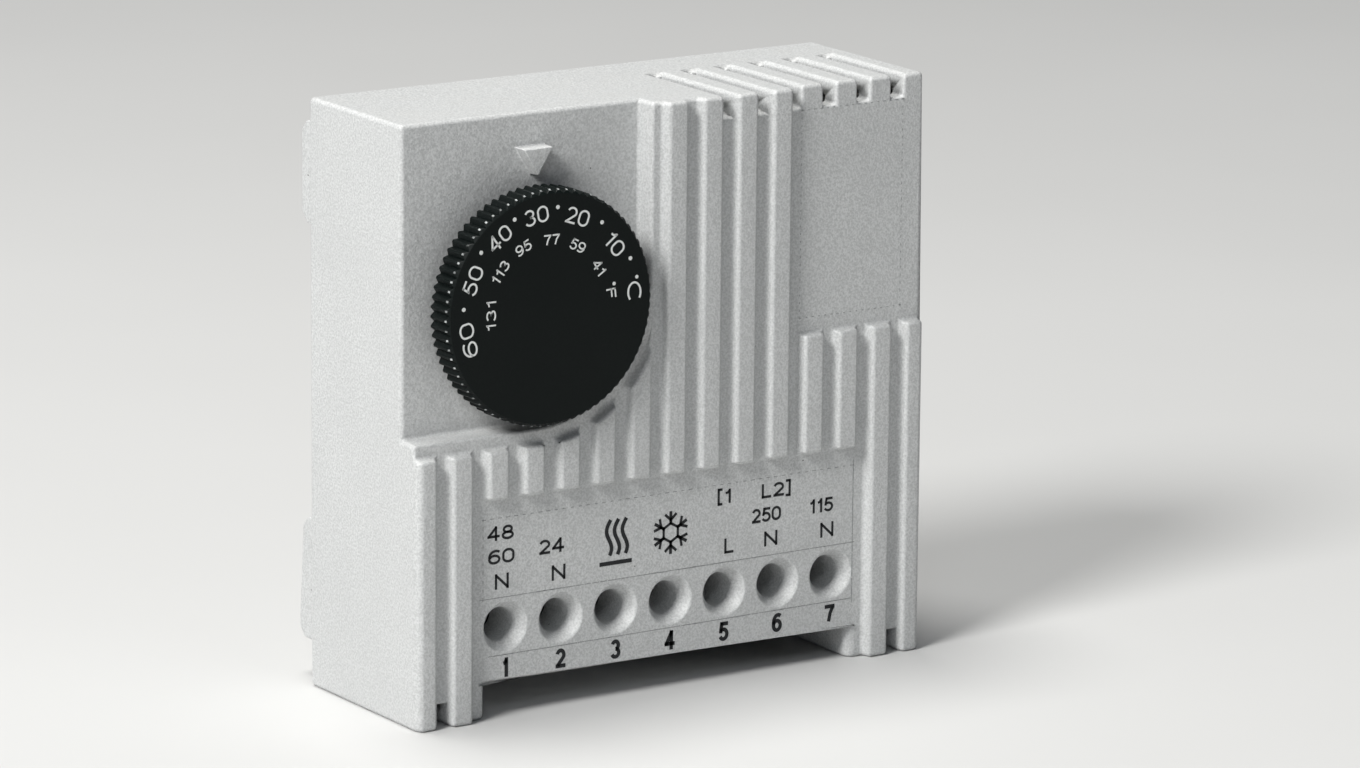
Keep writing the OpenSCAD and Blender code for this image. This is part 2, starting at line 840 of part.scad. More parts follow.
// The lever pivots above the cam, follows its edge and carries the bimetal strip
module setting_lever() color(steel) {
    difference() {
        union() {
            rod(tip_x, pivot_z, eye_r, lever_d0, lever_d1);
            rod(tip_x, dial_z, tip_r, lever_d0, lever_d1);
            block(tip_x - tip_r, tip_x + tip_r, lever_d0, lever_d1, dial_z, pivot_z);
            block(tip_x, arm_x1, lever_d0, lever_d1, pivot_z - tip_r, pivot_z + tip_r + seat_t);
            block(flange_x0, flange_x1, strip_d0, strip_d0 + strip_w, pivot_z + tip_r, strip_z);
        }
        rod(tip_x, pivot_z, pin_r + fit_gap, lever_d0 - over, lever_d1 + over);
        for (x = rivet_x) stud(x, rivet_d, rivet_r, pivot_z, strip_z + over);
    }
}

// A round bar standing up
module stud(x, d, r, z0, z1) {
    translate([x, front_y + d, z0]) cylinder(h = z1 - z0, r = r);
}

module lever_pin() color(steel) {
    rod(tip_x, pivot_z, pin_r, lever_d0 - run_gap - root, board_d0);
    rod(tip_x, pivot_z, eye_r, lever_d0 - run_gap - 2 * root, lever_d0 - run_gap);
    rod(tip_x, pivot_z, eye_r, lever_d1 + run_gap, board_d0);
}

module bimetal_strip() color("#b08a5a") {
    difference() {
        block(flange_x0, strip_x1, strip_d0, strip_d0 + strip_w, strip_z, strip_z + strip_t);
        for (x = rivet_x) stud(x, rivet_d, rivet_r, strip_z - over, strip_z + strip_t + over);
        stud(adjust_x, blade_d, adjust_r, strip_z - over, strip_z + strip_t + over);
    }
}

module bimetal_rivets() color(steel) {
    for (x = rivet_x) {
        stud(x, rivet_d, rivet_head_r, strip_z - seat_t - rivet_head_h, strip_z - seat_t);
        stud(x, rivet_d, rivet_r, strip_z - seat_t, strip_z + strip_t);
        stud(x, rivet_d, rivet_head_r, strip_z + strip_t, strip_z + strip_t + rivet_head_h);
    }
}

module calibration_screw() color(brass) {
    top = strip_z + strip_t + adjust_above;
    difference() {
        union() {
            stud(adjust_x, blade_d, adjust_r, strip_z - adjust_below, top);
            stud(adjust_x, blade_d, adjust_head_r, top, top + adjust_head_h);
        }
        block(adjust_x - adjust_head_r - over, adjust_x + adjust_head_r + over,
              blade_d - drive_w / 4, blade_d + drive_w / 4, top + root, top + adjust_head_h + over);
    }
}

module contact_blade() color("#c9a25e") {
    difference() {
        union() {
            rod(blade_x, blade_z, blade_pin_r + fit_gap + curl_t, blade_d - blade_w / 2,
                blade_d + blade_w / 2);
            block(blade_x, blade_x1, blade_d - blade_w / 2, blade_d + blade_w / 2,
                  blade_z - blade_t / 2, blade_z + blade_t / 2);
        }
        rod(blade_x, blade_z, blade_pin_r + fit_gap, blade_d - blade_w, blade_d + blade_w);
        stud(contact_x, blade_d, contact_shank_r, blade_z - blade_t, blade_z + blade_t);
    }
}

module moving_contact() color("silver") {
    stud(contact_x, blade_d, contact_shank_r, blade_z - blade_t / 2, blade_z + blade_t / 2);
    stud(contact_x, blade_d, contact_d / 2, blade_z + blade_t / 2, blade_z + blade_t / 2 + contact_head_h);
    stud(contact_x, blade_d, contact_d / 2, blade_z - blade_t / 2 - contact_head_h, blade_z - blade_t / 2);
}

module blade_bracket() color(brass) {
    block(blade_x - bracket_w / 2, blade_x + bracket_w / 2, board_d0 - arm_t, board_d0,
          blade_z - bracket_h * 2 / 3, blade_z + bracket_h / 3);
    rod(blade_x, blade_z, blade_pin_r, blade_d - blade_w / 2 - run_gap - collar_t, board_d0);
    rod(blade_x, blade_z, collar_r, blade_d - blade_w / 2 - run_gap - collar_t,
        blade_d - blade_w / 2 - run_gap);
    rod(blade_x, blade_z, collar_r, blade_d + blade_w / 2 + run_gap, board_d0);
}

// A fixed contact: a button on an arm that stands out of the board
module fixed_contact(face_z, up, foot) {
    z0 = face_z;
    z1 = face_z + up * contact_head_h;
    z2 = z1 + up * arm_t;
    z3 = z1 + up * foot;
    stud(contact_x, blade_d, contact_d / 2, min(z0, z1), max(z0, z1));
    block(contact_x - arm_w / 2, contact_x + arm_w / 2, blade_d - blade_w / 2, board_d0,
          min(z1, z2), max(z1, z2));
    block(contact_x - arm_w / 2, contact_x + arm_w / 2, board_d0 - arm_t, board_d0,
          min(z1, z3), max(z1, z3));
}

module heating_contact() color(brass) fixed_contact(blade_z - blade_half, -1, foot_h);
module cooling_contact() color(brass) fixed_contact(blade_z + blade_half, 1, cooling_foot_h);

module snap_magnet() color("#3a3d40") {
    block(magnet_x - magnet_w / 2, magnet_x + magnet_w / 2, blade_d - blade_w / 2, board_d0,
          magnet_top - magnet_h, magnet_top);
}

module circuit_board() color("#2f6b3c") {
    difference() {
        block(-board_x, board_x, board_d0, board_d1, board_z, board_top);
        at_posts() rod(0, 0, board_screw_r, board_d0 - over, board_d1 + over);
    }
}

module board_screws() color(steel) {
    at_posts() difference() {
        union() {
            rod(0, 0, board_head_r, board_d0 - board_head_h, board_d0);
            rod(0, 0, board_screw_r, board_d0 - root, board_d0 + board_screw_l);
        }
        block(-board_head_r - over, board_head_r + over, board_d0 - board_head_h - over,
              board_d0 - board_head_h + root, -drive_w / 3, drive_w / 3);
    }
}

module feedback_resistors() color("#b9a58a") {
    lead_x = resistor_l / 2 + lead_out;
    d = board_d0 - resistor_r - 2 * root;
    for (i = [0:resistor_count - 1]) {
        z = resistor_z + i * resistor_pitch;
        translate([resistor_x - resistor_l / 2, front_y + d, z])
            rotate([0, 90, 0]) cylinder(h = resistor_l, r = resistor_r);
        translate([resistor_x - lead_x, front_y + d, z])
            rotate([0, 90, 0]) cylinder(h = 2 * lead_x, r = lead_r);
        for (x = [resistor_x - lead_x, resistor_x + lead_x])
            rod(x, z, bend_r, d - bend_r, board_d0);
    }
}

module terminal_block() color("#2b2f31") {
    difference() {
        block(-comb_w / 2, comb_w / 2, comb_d0, plate_d, shelf_z, comb_z1);
        for (k = TERMINALS) {
            x = term_x(k);
            cell = (term_pitch - partition_t) / 2;
            block(x - cell, x + cell, comb_in, plate_d + over, cell_z0, cell_z1);
            rod(x, term_z, head_r + run_gap, comb_d0 - over, comb_in + root);
            block(x - entry_w / 2, x + entry_w / 2, entry_d0, entry_d1, shelf_z - over, cell_z0 + root);
            block(x - bar_w / 2, x + bar_w / 2, bar_d0, bar_d1, cell_z1 - over, comb_z1 + over);
        }
    }
}

module terminal_bars() color(brass) {
    for (k = TERMINALS)
        block(term_x(k) - bar_w / 2, term_x(k) + bar_w / 2, bar_d0, bar_d1,
              term_z - clamp_h / 2 + run_gap, board_z + bar_lap);
}

// The screw turns in its seat and the clamp climbs on it
module terminal_screw(k) color(steel) {
    x = term_x(k);
    difference() {
        union() {
            rod(x, term_z, head_r, head_d0, comb_in);
            rod(x, term_z, screw_d / 2, comb_in - root, shank_d1);
        }
        block(x - head_r - over, x + head_r + over, head_d0 - over, head_d0 + drive_depth,
              term_z - drive_w / 2, term_z + drive_w / 2);
    }
}

module terminal_clamp(k) color("#d3c9a0") {
    x = term_x(k);
    z0 = term_z - clamp_h / 2;
    z1 = term_z + clamp_h / 2;
    difference() {
        block(x - clamp_w / 2, x + clamp_w / 2, clamp_d0, clamp_d1, z0, z1);
        block(x - clamp_inner_w / 2, x + clamp_inner_w / 2, clamp_d0 + clamp_front_t, clamp_back_d,
              z0 - over, z1 + over);
        rod(x, term_z, screw_d / 2 + fit_gap, clamp_d0 - over, clamp_d0 + clamp_front_t + over);
    }
}

front_cover();
rear_base();
cover_screws();
rail_latch();
latch_spring();
dial_knob();
dial_spindle();
spindle_bush();
retaining_ring();
setting_cam();
setting_lever();
lever_pin();
bimetal_strip();
bimetal_rivets();
calibration_screw();
contact_blade();
moving_contact();
blade_bracket();
heating_contact();
cooling_contact();
snap_magnet();
circuit_board();
board_screws();
feedback_resistors();
terminal_block();
terminal_bars();
for (k = TERMINALS) {
    terminal_screw(k);
    terminal_clamp(k);
}
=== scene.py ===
# %% [markdown]
# # A rail thermostat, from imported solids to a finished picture
# The thermostat is a light grey moulded box with vertical ribs, a black setting dial and a row of
# screw terminals. The exact solids come packed with their moving bodies. This lesson keeps their
# places, gives every piece its finish, and adds what a solid model leaves out: the soft edges that
# a mould leaves, the printed scale and marks, and the fine texture of the plastic.

import json
import math

import bmesh
import bpy
from mathutils import Matrix, Vector


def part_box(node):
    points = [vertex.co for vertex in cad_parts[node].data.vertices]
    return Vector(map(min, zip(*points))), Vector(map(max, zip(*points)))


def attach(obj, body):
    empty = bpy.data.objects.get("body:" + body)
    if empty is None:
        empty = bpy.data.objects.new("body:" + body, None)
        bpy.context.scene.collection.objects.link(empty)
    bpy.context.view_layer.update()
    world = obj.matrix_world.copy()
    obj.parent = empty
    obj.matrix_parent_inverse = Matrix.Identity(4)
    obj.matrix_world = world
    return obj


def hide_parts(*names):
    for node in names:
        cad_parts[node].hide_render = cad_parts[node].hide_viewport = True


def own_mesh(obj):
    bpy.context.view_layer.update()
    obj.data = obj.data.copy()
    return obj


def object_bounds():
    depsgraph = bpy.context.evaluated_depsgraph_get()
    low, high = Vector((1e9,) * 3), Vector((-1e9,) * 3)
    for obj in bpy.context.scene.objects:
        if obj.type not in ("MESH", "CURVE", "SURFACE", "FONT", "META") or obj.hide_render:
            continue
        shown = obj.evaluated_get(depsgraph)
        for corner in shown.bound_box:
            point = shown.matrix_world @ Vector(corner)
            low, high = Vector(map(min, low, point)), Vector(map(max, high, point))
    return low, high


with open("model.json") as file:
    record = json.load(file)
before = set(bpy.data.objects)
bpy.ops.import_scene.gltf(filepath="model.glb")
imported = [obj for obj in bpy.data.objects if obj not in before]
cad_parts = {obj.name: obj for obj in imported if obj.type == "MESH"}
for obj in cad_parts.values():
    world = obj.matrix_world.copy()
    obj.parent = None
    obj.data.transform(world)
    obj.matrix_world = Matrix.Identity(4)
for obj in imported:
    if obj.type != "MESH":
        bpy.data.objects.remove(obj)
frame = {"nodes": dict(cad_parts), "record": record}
nodes = frame["nodes"]
solid_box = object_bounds()
MM = 0.001
cover_low, cover_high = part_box("front_cover")
knob_low, knob_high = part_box("dial_knob")
FRONT = cover_low.y
BACK = cover_high.y
print("nodes", len(nodes), "box in mm", [round(v / MM, 1) for v in solid_box[1] - solid_box[0]])


# %% [markdown]
# ## The camera
# The photograph looks at the box from its left, a little above, with a long lens. A camera can be
# aimed by eye, but then nothing in the two pictures can be compared. So a pinhole camera was fitted
# to the rib ends, the holes and the corners of the box. Its place, its view direction and its focal
# length are kept here as plain numbers, for a picture of 1360 by 768.

# %% Camera
CAMERA_AT = Vector((-0.4299, FRONT - 0.65314, 0.2202))
CAMERA_LOOK = Vector((0.53565, 0.81316, -0.22772)).normalized()
CAMERA_RIGHT = Vector((0.8362, -0.54836, 0.00881))
FOCAL_PX = 6850.8
PICTURE_W = 1360
SENSOR_W = 36

camera_data = bpy.data.cameras.new("camera")
camera = bpy.data.objects.new("camera", camera_data)
bpy.context.scene.collection.objects.link(camera)
right = (CAMERA_RIGHT - CAMERA_RIGHT.dot(CAMERA_LOOK) * CAMERA_LOOK).normalized()
up = right.cross(CAMERA_LOOK)
turn = Matrix((right, up, -CAMERA_LOOK)).transposed()
camera.matrix_world = Matrix.Translation(CAMERA_AT) @ turn.to_4x4()
camera_data.sensor_width = SENSOR_W
camera_data.lens = FOCAL_PX / PICTURE_W * SENSOR_W
camera_data.clip_start = 0.05
camera_data.clip_end = 20
bpy.context.scene.camera = camera
print("lens", round(camera_data.lens, 1), "mm, distance", round(CAMERA_AT.length, 3), "m")


# %% [markdown]
# ## Helpers for node trees
# Materials and Geometry Nodes are both trees. They could be wired by hand in the editor, but a
# script repeats them exactly. One helper adds a node: settings are the node's own choices, and
# inputs are given by name, or by number where several share a name. An input takes a plain value or
# another node's output.

# %% Add a node to a tree
def add(tree, kind, settings=None, numbered=None, **inputs):
    made = tree.nodes.new(kind)
    for key, value in (settings or {}).items():
        setattr(made, key, value)
    sockets = [(made.inputs[k.replace("_", " ")], v) for k, v in inputs.items()]
    sockets += [(made.inputs[k], v) for k, v in (numbered or {}).items()]
    for socket, value in sockets:
        if isinstance(value, bpy.types.NodeSocket):
            tree.links.new(value, socket)
        else:
            socket.default_value = value
    return made


def calc(tree, operation, a, b=0.0, clamp=False):
    """One sum on two values, such as MULTIPLY."""
    made = add(tree, "ShaderNodeMath", {"operation": operation, "use_clamp": clamp}, {0: a, 1: b})
    return made.outputs[0]


def blend_colours(tree, share, a, b):
    """Colour a where share is 0, colour b where it is 1."""
    mix = add(tree, "ShaderNodeMix", {"data_type": "RGBA"}, {0: share, 6: a, 7: b})
    return mix.outputs[2]


def span(tree, value, low, high, out_low=0.0, out_high=1.0):
    """Stretches the part of value between low and high over a new range."""
    made = add(tree, "ShaderNodeMapRange", None,
               {0: value, 1: low, 2: high, 3: out_low, 4: out_high})
    return made.outputs[0]


print("helpers: add, calc, blend_colours, span")


# %% [markdown]
# ## Shared surface effects
# Every finish here is built from the same four effects. Each could be wired anew in every material,
# but a node group is built once and placed with its own values. The first is *fine grain*: the
# spark-eroded texture of a mould in two sizes, and the slow cloudiness of any real surface.

# %% Fine grain
def new_group(name, inputs, outputs):
    """A shader node group with named number inputs and outputs."""
    group = bpy.data.node_groups.new(name, "ShaderNodeTree")
    sockets = group.interface
    for label, value in inputs:
        made = sockets.new_socket(label, in_out="INPUT", socket_type="NodeSocketFloat")
        made.default_value = value
    for label in outputs:
        sockets.new_socket(label, in_out="OUTPUT", socket_type="NodeSocketFloat")
    return group, group.nodes.new("NodeGroupInput"), group.nodes.new("NodeGroupOutput")


SPECKLE_TO_GRAIN = 0.34

grain_group, start, end = new_group(
    "fine_grain", [("Grain Scale", 3200.0), ("Cloud Scale", 60.0)], ["Grain", "Speckle", "Cloud"])
place = add(grain_group, "ShaderNodeTexCoord").outputs["Object"]
grain = add(grain_group, "ShaderNodeTexNoise", None, None,
            Vector=place, Scale=start.outputs["Grain Scale"], Detail=3.0, Roughness=0.6)
coarse = calc(grain_group, "MULTIPLY", start.outputs["Grain Scale"], SPECKLE_TO_GRAIN)
speckle = add(grain_group, "ShaderNodeTexNoise", None, None, Vector=place, Scale=coarse, Detail=2.0)
cloud = add(grain_group, "ShaderNodeTexNoise", None, None,
            Vector=place, Scale=start.outputs["Cloud Scale"], Detail=3.0, Roughness=0.55)
grain_group.links.new(grain.outputs[0], end.inputs["Grain"])
grain_group.links.new(speckle.outputs[0], end.inputs["Speckle"])
grain_group.links.new(cloud.outputs[0], end.inputs["Cloud"])
print("group", grain_group.name)

# %% [markdown]
# *Edge rub and highlight* lightens the rounded edges: partly the polish on corners that hands and
# packing touch, partly a painted highlight where light catches them. It could follow the curvature of
# the mesh, but the bevels know exactly where the edges are: their faces carry an attribute named
# soft_edge. A noise breaks it up, because edges wear unevenly.

# %% Edge rub and painted highlight
rub_highlight_group, start, end = new_group("edge_rub", [("Amount", 0.5), ("Break Scale", 900.0)], ["Mask"])
edge = add(rub_highlight_group, "ShaderNodeAttribute", {"attribute_name": "soft_edge"}).outputs["Fac"]
place = add(rub_highlight_group, "ShaderNodeTexCoord").outputs["Object"]
broken = add(rub_highlight_group, "ShaderNodeTexNoise", None, None,
             Vector=place, Scale=start.outputs["Break Scale"], Detail=2.0).outputs[0]
patchy = span(rub_highlight_group, broken, 0.35, 0.6)
# The mask covers the bevel faces: partly rubbed plastic, partly a painted highlight.
rub_and_highlight = calc(rub_highlight_group, "MULTIPLY", edge, patchy)
mask = calc(rub_highlight_group, "MULTIPLY", rub_and_highlight, start.outputs["Amount"], True)
rub_highlight_group.links.new(mask, end.inputs["Mask"])
print("group", rub_highlight_group.name)

# %% [markdown]
# *Settled dust* lies in patches on whatever faces upwards. Loose grains would cost thousands of
# faces, so the normal's upward part picks the places and a noise picks the patches.

# %% Settled dust
dust_group, start, end = new_group(
    "settled_dust", [("Amount", 0.2), ("Patch Scale", 300.0)], ["Mask"])
coordinates = add(dust_group, "ShaderNodeTexCoord")
facing = add(dust_group, "ShaderNodeSeparateXYZ", None, {0: coordinates.outputs["Normal"]}).outputs["Z"]
upward = span(dust_group, facing, 0.3, 0.95)
patches = add(dust_group, "ShaderNodeTexNoise", None, None, Vector=coordinates.outputs["Object"],
              Scale=start.outputs["Patch Scale"], Detail=4.0, Roughness=0.7).outputs[0]
loose = span(dust_group, patches, 0.4, 0.75)
settled = calc(dust_group, "MULTIPLY", upward, loose)
mask = calc(dust_group, "MULTIPLY", settled, start.outputs["Amount"], True)
dust_group.links.new(mask, end.inputs["Mask"])
print("group", dust_group.name)

# %% [markdown]
# *Stray specks* are the few tiny dark burnt grains in any light plastic. An image of specks would
# stretch at the corners. Here space is split into small cells, about one cell in eight holds a
# speck, and only the specks that the surface cuts show.

# %% Stray specks
EMPTY_CELLS = 0.88

speck_group, start, end = new_group(
    "stray_specks", [("Amount", 0.8), ("Cell Scale", 420.0), ("Size", 0.045)], ["Mask"])
place = add(speck_group, "ShaderNodeTexCoord").outputs["Object"]
cells = add(speck_group, "ShaderNodeTexVoronoi", None, None,
            Vector=place, Scale=start.outputs["Cell Scale"])
lot = add(speck_group, "ShaderNodeSeparateColor", None, None, Color=cells.outputs["Color"]).outputs[0]
chosen = calc(speck_group, "GREATER_THAN", lot, EMPTY_CELLS)
near = calc(speck_group, "LESS_THAN", cells.outputs["Distance"], start.outputs["Size"])
speck = calc(speck_group, "MULTIPLY", chosen, near)
mask = calc(speck_group, "MULTIPLY", speck, start.outputs["Amount"])
speck_group.links.new(mask, end.inputs["Mask"])
print("group", speck_group.name)


# %% [markdown]
# ## Moulded plastics and printing ink
# The housing is light grey thermoplastic with a fine matt texture: small grains of colour, a bump of
# a few hundredths of a millimetre, lighter edges that are partly rubbed and partly a painted
# highlight, and a trace of dust on top. An image texture would need unwrapped surfaces, so noises on
# the piece's own coordinates make it instead. The same recipe with other numbers gives the black
# knob, the dark terminal block and the white cam. Ink is the same again, thin and a little uneven.

# %% Plastic and ink recipe
def new_material(name):
    material = bpy.data.materials.new(name)
    material.use_nodes = True
    tree = material.node_tree
    return material, tree, tree.nodes["Principled BSDF"]


def place_group(tree, group, **values):
    made = add(tree, "ShaderNodeGroup", {"node_tree": group})
    for label, value in values.items():
        made.inputs[label.replace("_", " ")].default_value = value
    return made


DUST_COLOUR = (0.56, 0.54, 0.5, 1)
BURNT_COLOUR = (0.09, 0.085, 0.08, 1)
CLOUD_SHADE = 0.95


def moulded(name, colour, fleck, rub_and_highlight, roughness, bump,
            grain_scale=3200.0, rub_highlight_amount=0.5, dust=0.0, specks=0.0):
    """Plastic of one colour with flecks, grain, rubbed edges with a painted highlight, dust and specks."""
    material, tree, shader = new_material(name)
    grain = place_group(tree, grain_group, Grain_Scale=grain_scale, Cloud_Scale=70.0)
    worn_and_lit = place_group(tree, rub_highlight_group, Amount=rub_highlight_amount, Break_Scale=1100.0).outputs["Mask"]
    flecks = span(tree, grain.outputs["Grain"], 0.4, 0.6)
    tint = blend_colours(tree, flecks, (*colour, 1), (*fleck, 1))
    clouds = span(tree, grain.outputs["Cloud"], 0.3, 0.75, 0.0, 0.3)
    tint = blend_colours(tree, clouds, tint, (*[c * CLOUD_SHADE for c in colour], 1))
    # Lighter colour on the bevelled edges: partly rubbing, partly a painted highlight.
    tint = blend_colours(tree, worn_and_lit, tint, (*rub_and_highlight, 1))
    if dust:
        settled = place_group(tree, dust_group, Amount=dust).outputs["Mask"]
        tint = blend_colours(tree, settled, tint, DUST_COLOUR)
    if specks:
        burnt = place_group(tree, speck_group, Amount=specks).outputs["Mask"]
        tint = blend_colours(tree, burnt, tint, BURNT_COLOUR)
    tree.links.new(tint, shader.inputs["Base Color"])
    slow = span(tree, grain.outputs["Cloud"], 0.3, 0.7, roughness - 0.05, roughness + 0.05)
    fine = span(tree, grain.outputs["Grain"], 0.3, 0.7, -0.04, 0.04)
    polish = calc(tree, "MULTIPLY", worn_and_lit, 0.12)
    gloss = calc(tree, "SUBTRACT", calc(tree, "ADD", slow, fine), polish)
    tree.links.new(gloss, shader.inputs["Roughness"])
    bumps = calc(tree, "MULTIPLY", grain.outputs["Speckle"], 0.8)
    height = calc(tree, "ADD", grain.outputs["Grain"], bumps)
    relief = add(tree, "ShaderNodeBump", None, None, Strength=1.0, Distance=bump, Height=height)
    tree.links.new(relief.outputs[0], shader.inputs["Normal"])
    return material


print("plastic recipe with dust", DUST_COLOUR[:3], "and specks", BURNT_COLOUR[:3])

# %% [markdown]
# The colours below are base, fleck and the lighter edge, partly rubbing and partly painted
# highlight, then roughness and the depth of the bump in metres. The knob's plastic is so dark that
# its usual shine would lift it to grey, so its reflection is turned down. It could also be darkened
# after the render, but then the printed figures would go dark with it.

# %% Plastics and inks of the thermostat
KNOB_SHINE = 0.14
grey_housing = moulded("grey_housing", (0.495, 0.504, 0.504), (0.655, 0.664, 0.664),
                       (0.78, 0.785, 0.775), 0.46, 0.00006,
                       grain_scale=3800.0, rub_highlight_amount=0.75, dust=0.12, specks=0.85)
# The knob's light edge colour paints highlight dots on the corners of its teeth, with a little rubbing.
black_knob = moulded("black_knob", (0.003, 0.0052, 0.005), (0.0045, 0.007, 0.0066),
                     (0.45, 0.47, 0.47), 0.45, 0.000008, grain_scale=4200.0, rub_highlight_amount=1.0)
black_knob.node_tree.nodes["Principled BSDF"].inputs["Specular IOR Level"].default_value = KNOB_SHINE
dark_block = moulded("dark_block", (0.03, 0.035, 0.04), (0.045, 0.05, 0.055),
                     (0.12, 0.12, 0.12), 0.5, 0.00002)
white_cam = moulded("white_cam", (0.72, 0.72, 0.69), (0.76, 0.76, 0.73),
                    (0.8, 0.8, 0.78), 0.38, 0.00001)
black_ink = moulded("black_ink", (0.003, 0.004, 0.006), (0.006, 0.007, 0.009),
                    (0.02, 0.02, 0.02), 0.6, 0.000006)
white_ink = moulded("white_ink", (0.72, 0.74, 0.73), (0.8, 0.82, 0.81),
                    (0.8, 0.8, 0.8), 0.5, 0.000006)
film_line = moulded("film_line", (0.24, 0.25, 0.255), (0.36, 0.37, 0.37),
                    (0.3, 0.3, 0.3), 0.5, 0.000006)
print("plastics", [m.name for m in (grey_housing, black_knob, dark_block, white_cam)])
print("inks", [m.name for m in (black_ink, white_ink, film_line)])


# %% [markdown]
# ## Metals
# The fixings are zinc-plated steel, yellow on the clamps, the current-carrying parts brass, the
# blade a copper alloy and the contact faces silver. A grey paint would look flat: a metal's colour
# sits in its reflection. So the recipe sets Metallic to one, clouds the tint with tarnish, and
# stretches a noise along one direction for drawing marks.

# %% Metal recipe
TARNISH_AMOUNT = 0.5
MARK_DEPTH = 0.000006


def drawn_metal(name, colour, tarnish, roughness, along=(1, 1, 1)):
    """Metal with tarnish clouds and marks stretched along a direction."""
    material, tree, shader = new_material(name)
    grain = place_group(tree, grain_group, Grain_Scale=2600.0, Cloud_Scale=220.0)
    place = add(tree, "ShaderNodeTexCoord").outputs["Object"]
    stretched = add(tree, "ShaderNodeMapping", None, None, Vector=place, Scale=along).outputs[0]
    marks = add(tree, "ShaderNodeTexNoise", None, None,
                Vector=stretched, Scale=1800.0, Detail=3.0).outputs[0]
    clouds = span(tree, grain.outputs["Cloud"], 0.35, 0.7, 0.0, TARNISH_AMOUNT)
    tint = blend_colours(tree, clouds, (*colour, 1), (*tarnish, 1))
    tree.links.new(tint, shader.inputs["Base Color"])
    shader.inputs["Metallic"].default_value = 1.0
    gloss = calc(tree, "ADD", span(tree, marks, 0.3, 0.7, roughness - 0.08, roughness + 0.08),
                 calc(tree, "MULTIPLY", clouds, 0.15))
    tree.links.new(gloss, shader.inputs["Roughness"])
    height = calc(tree, "ADD", marks, calc(tree, "MULTIPLY", grain.outputs["Grain"], 0.4))
    relief = add(tree, "ShaderNodeBump", None, None, Strength=1.0, Distance=MARK_DEPTH, Height=height)
    tree.links.new(relief.outputs[0], shader.inputs["Normal"])
    return material


zinc_steel = drawn_metal("zinc_steel", (0.62, 0.64, 0.66), (0.42, 0.43, 0.42), 0.32)
screw_zinc = drawn_metal("screw_zinc", (0.62, 0.63, 0.64), (0.4, 0.4, 0.39), 0.3, (1, 0.3, 1))
yellow_zinc = drawn_metal("yellow_zinc", (0.66, 0.6, 0.42), (0.5, 0.42, 0.3), 0.36, (1, 1, 0.25))
turned_brass = drawn_metal("turned_brass", (0.78, 0.58, 0.24), (0.42, 0.28, 0.12), 0.3, (0.3, 1, 1))
blade_bronze = drawn_metal("blade_bronze", (0.8, 0.5, 0.3), (0.45, 0.26, 0.15), 0.28, (0.2, 1, 1))
contact_silver = drawn_metal("contact_silver", (0.86, 0.85, 0.82), (0.45, 0.42, 0.38), 0.22)
magnet_nickel = drawn_metal("magnet_nickel", (0.3, 0.3, 0.31), (0.16, 0.16, 0.17), 0.42)
print("metals", [m.name for m in (zinc_steel, screw_zinc, yellow_zinc, turned_brass, blade_bronze,
                                  contact_silver, magnet_nickel)])


# %% [markdown]
# ## Three special finishes
# The bimetal is two metals rolled together: it bends with heat because its brass-coloured side grows
# more than its grey side, so the colour changes halfway up its thickness. The board is green solder
# mask over tracks, and the resistors have painted bands. Stripes could be separate faces, but a
# second colour laid over the first by the piece's own coordinates keeps the solids whole.

# %% Bimetal, board and resistors
BRASS_SIDE = (0.72, 0.5, 0.22, 1)
TRACK_GREEN = (0.06, 0.3, 0.1, 1)
BAND_BROWN = (0.12, 0.03, 0.02, 1)
TRACK_SHOW = 0.6
BAND_RADIANS_PER_METRE = 3900.0
BAND_FROM = 0.72


def along_axis(tree, axis):
    place = add(tree, "ShaderNodeTexCoord").outputs["Object"]
    return add(tree, "ShaderNodeSeparateXYZ", None, {0: place}).outputs[axis]


def lay_over(material, share, colour):
    """Lays a colour over the material's own tint where share is one."""
    tree = material.node_tree
    socket = tree.nodes["Principled BSDF"].inputs["Base Color"]
    own_tint = socket.links[0].from_socket
    tree.links.new(blend_colours(tree, share, own_tint, colour), socket)


two_metals = drawn_metal("two_metals", (0.6, 0.6, 0.6), (0.45, 0.45, 0.45), 0.32, (0.2, 1, 1))
strip_low, strip_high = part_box("bimetal_strip")
tree = two_metals.node_tree
lower = calc(tree, "LESS_THAN", along_axis(tree, "Z"), (strip_low.z + strip_high.z) / 2)
lay_over(two_metals, lower, BRASS_SIDE)

green_board = moulded("green_board", (0.02, 0.16, 0.06), (0.025, 0.19, 0.07),
                      (0.3, 0.3, 0.15), 0.3, 0.000008)
tree = green_board.node_tree
flat_place = add(tree, "ShaderNodeCombineXYZ", None,
                 {0: along_axis(tree, "X"), 1: along_axis(tree, "Z")}).outputs[0]
tracks = add(tree, "ShaderNodeTexBrick", None, None,
             Vector=flat_place, Scale=260.0, Mortar_Size=0.03, Mortar_Smooth=0.1).outputs["Fac"]
lay_over(green_board, calc(tree, "MULTIPLY", tracks, TRACK_SHOW), TRACK_GREEN)

banded_resistor = moulded("banded_resistor", (0.5, 0.42, 0.28), (0.55, 0.46, 0.3),
                          (0.6, 0.5, 0.35), 0.35, 0.00001)
tree = banded_resistor.node_tree
waves = calc(tree, "SINE", calc(tree, "MULTIPLY", along_axis(tree, "X"), BAND_RADIANS_PER_METRE))
lay_over(banded_resistor, calc(tree, "GREATER_THAN", waves, BAND_FROM), BAND_BROWN)
print("special finishes", [m.name for m in (two_metals, green_board, banded_resistor)])


# %% [markdown]
# ## Soft edges on the mouldings
# A mould can't leave a knife edge: every rib, hole and corner has a small radius, which catches the
# light as a bright line. A bevel node in the material would only tilt the shading, so real faces are
# made. Each moulding is copied from its own solid, whose mesh is loose triangles: a bevel would
# follow every seam. So its doubles are welded and its flat regions joined into single faces first.

# %% A welded copy of a solid
WELD = 2e-6
FLAT_WITHIN = math.radians(0.6)


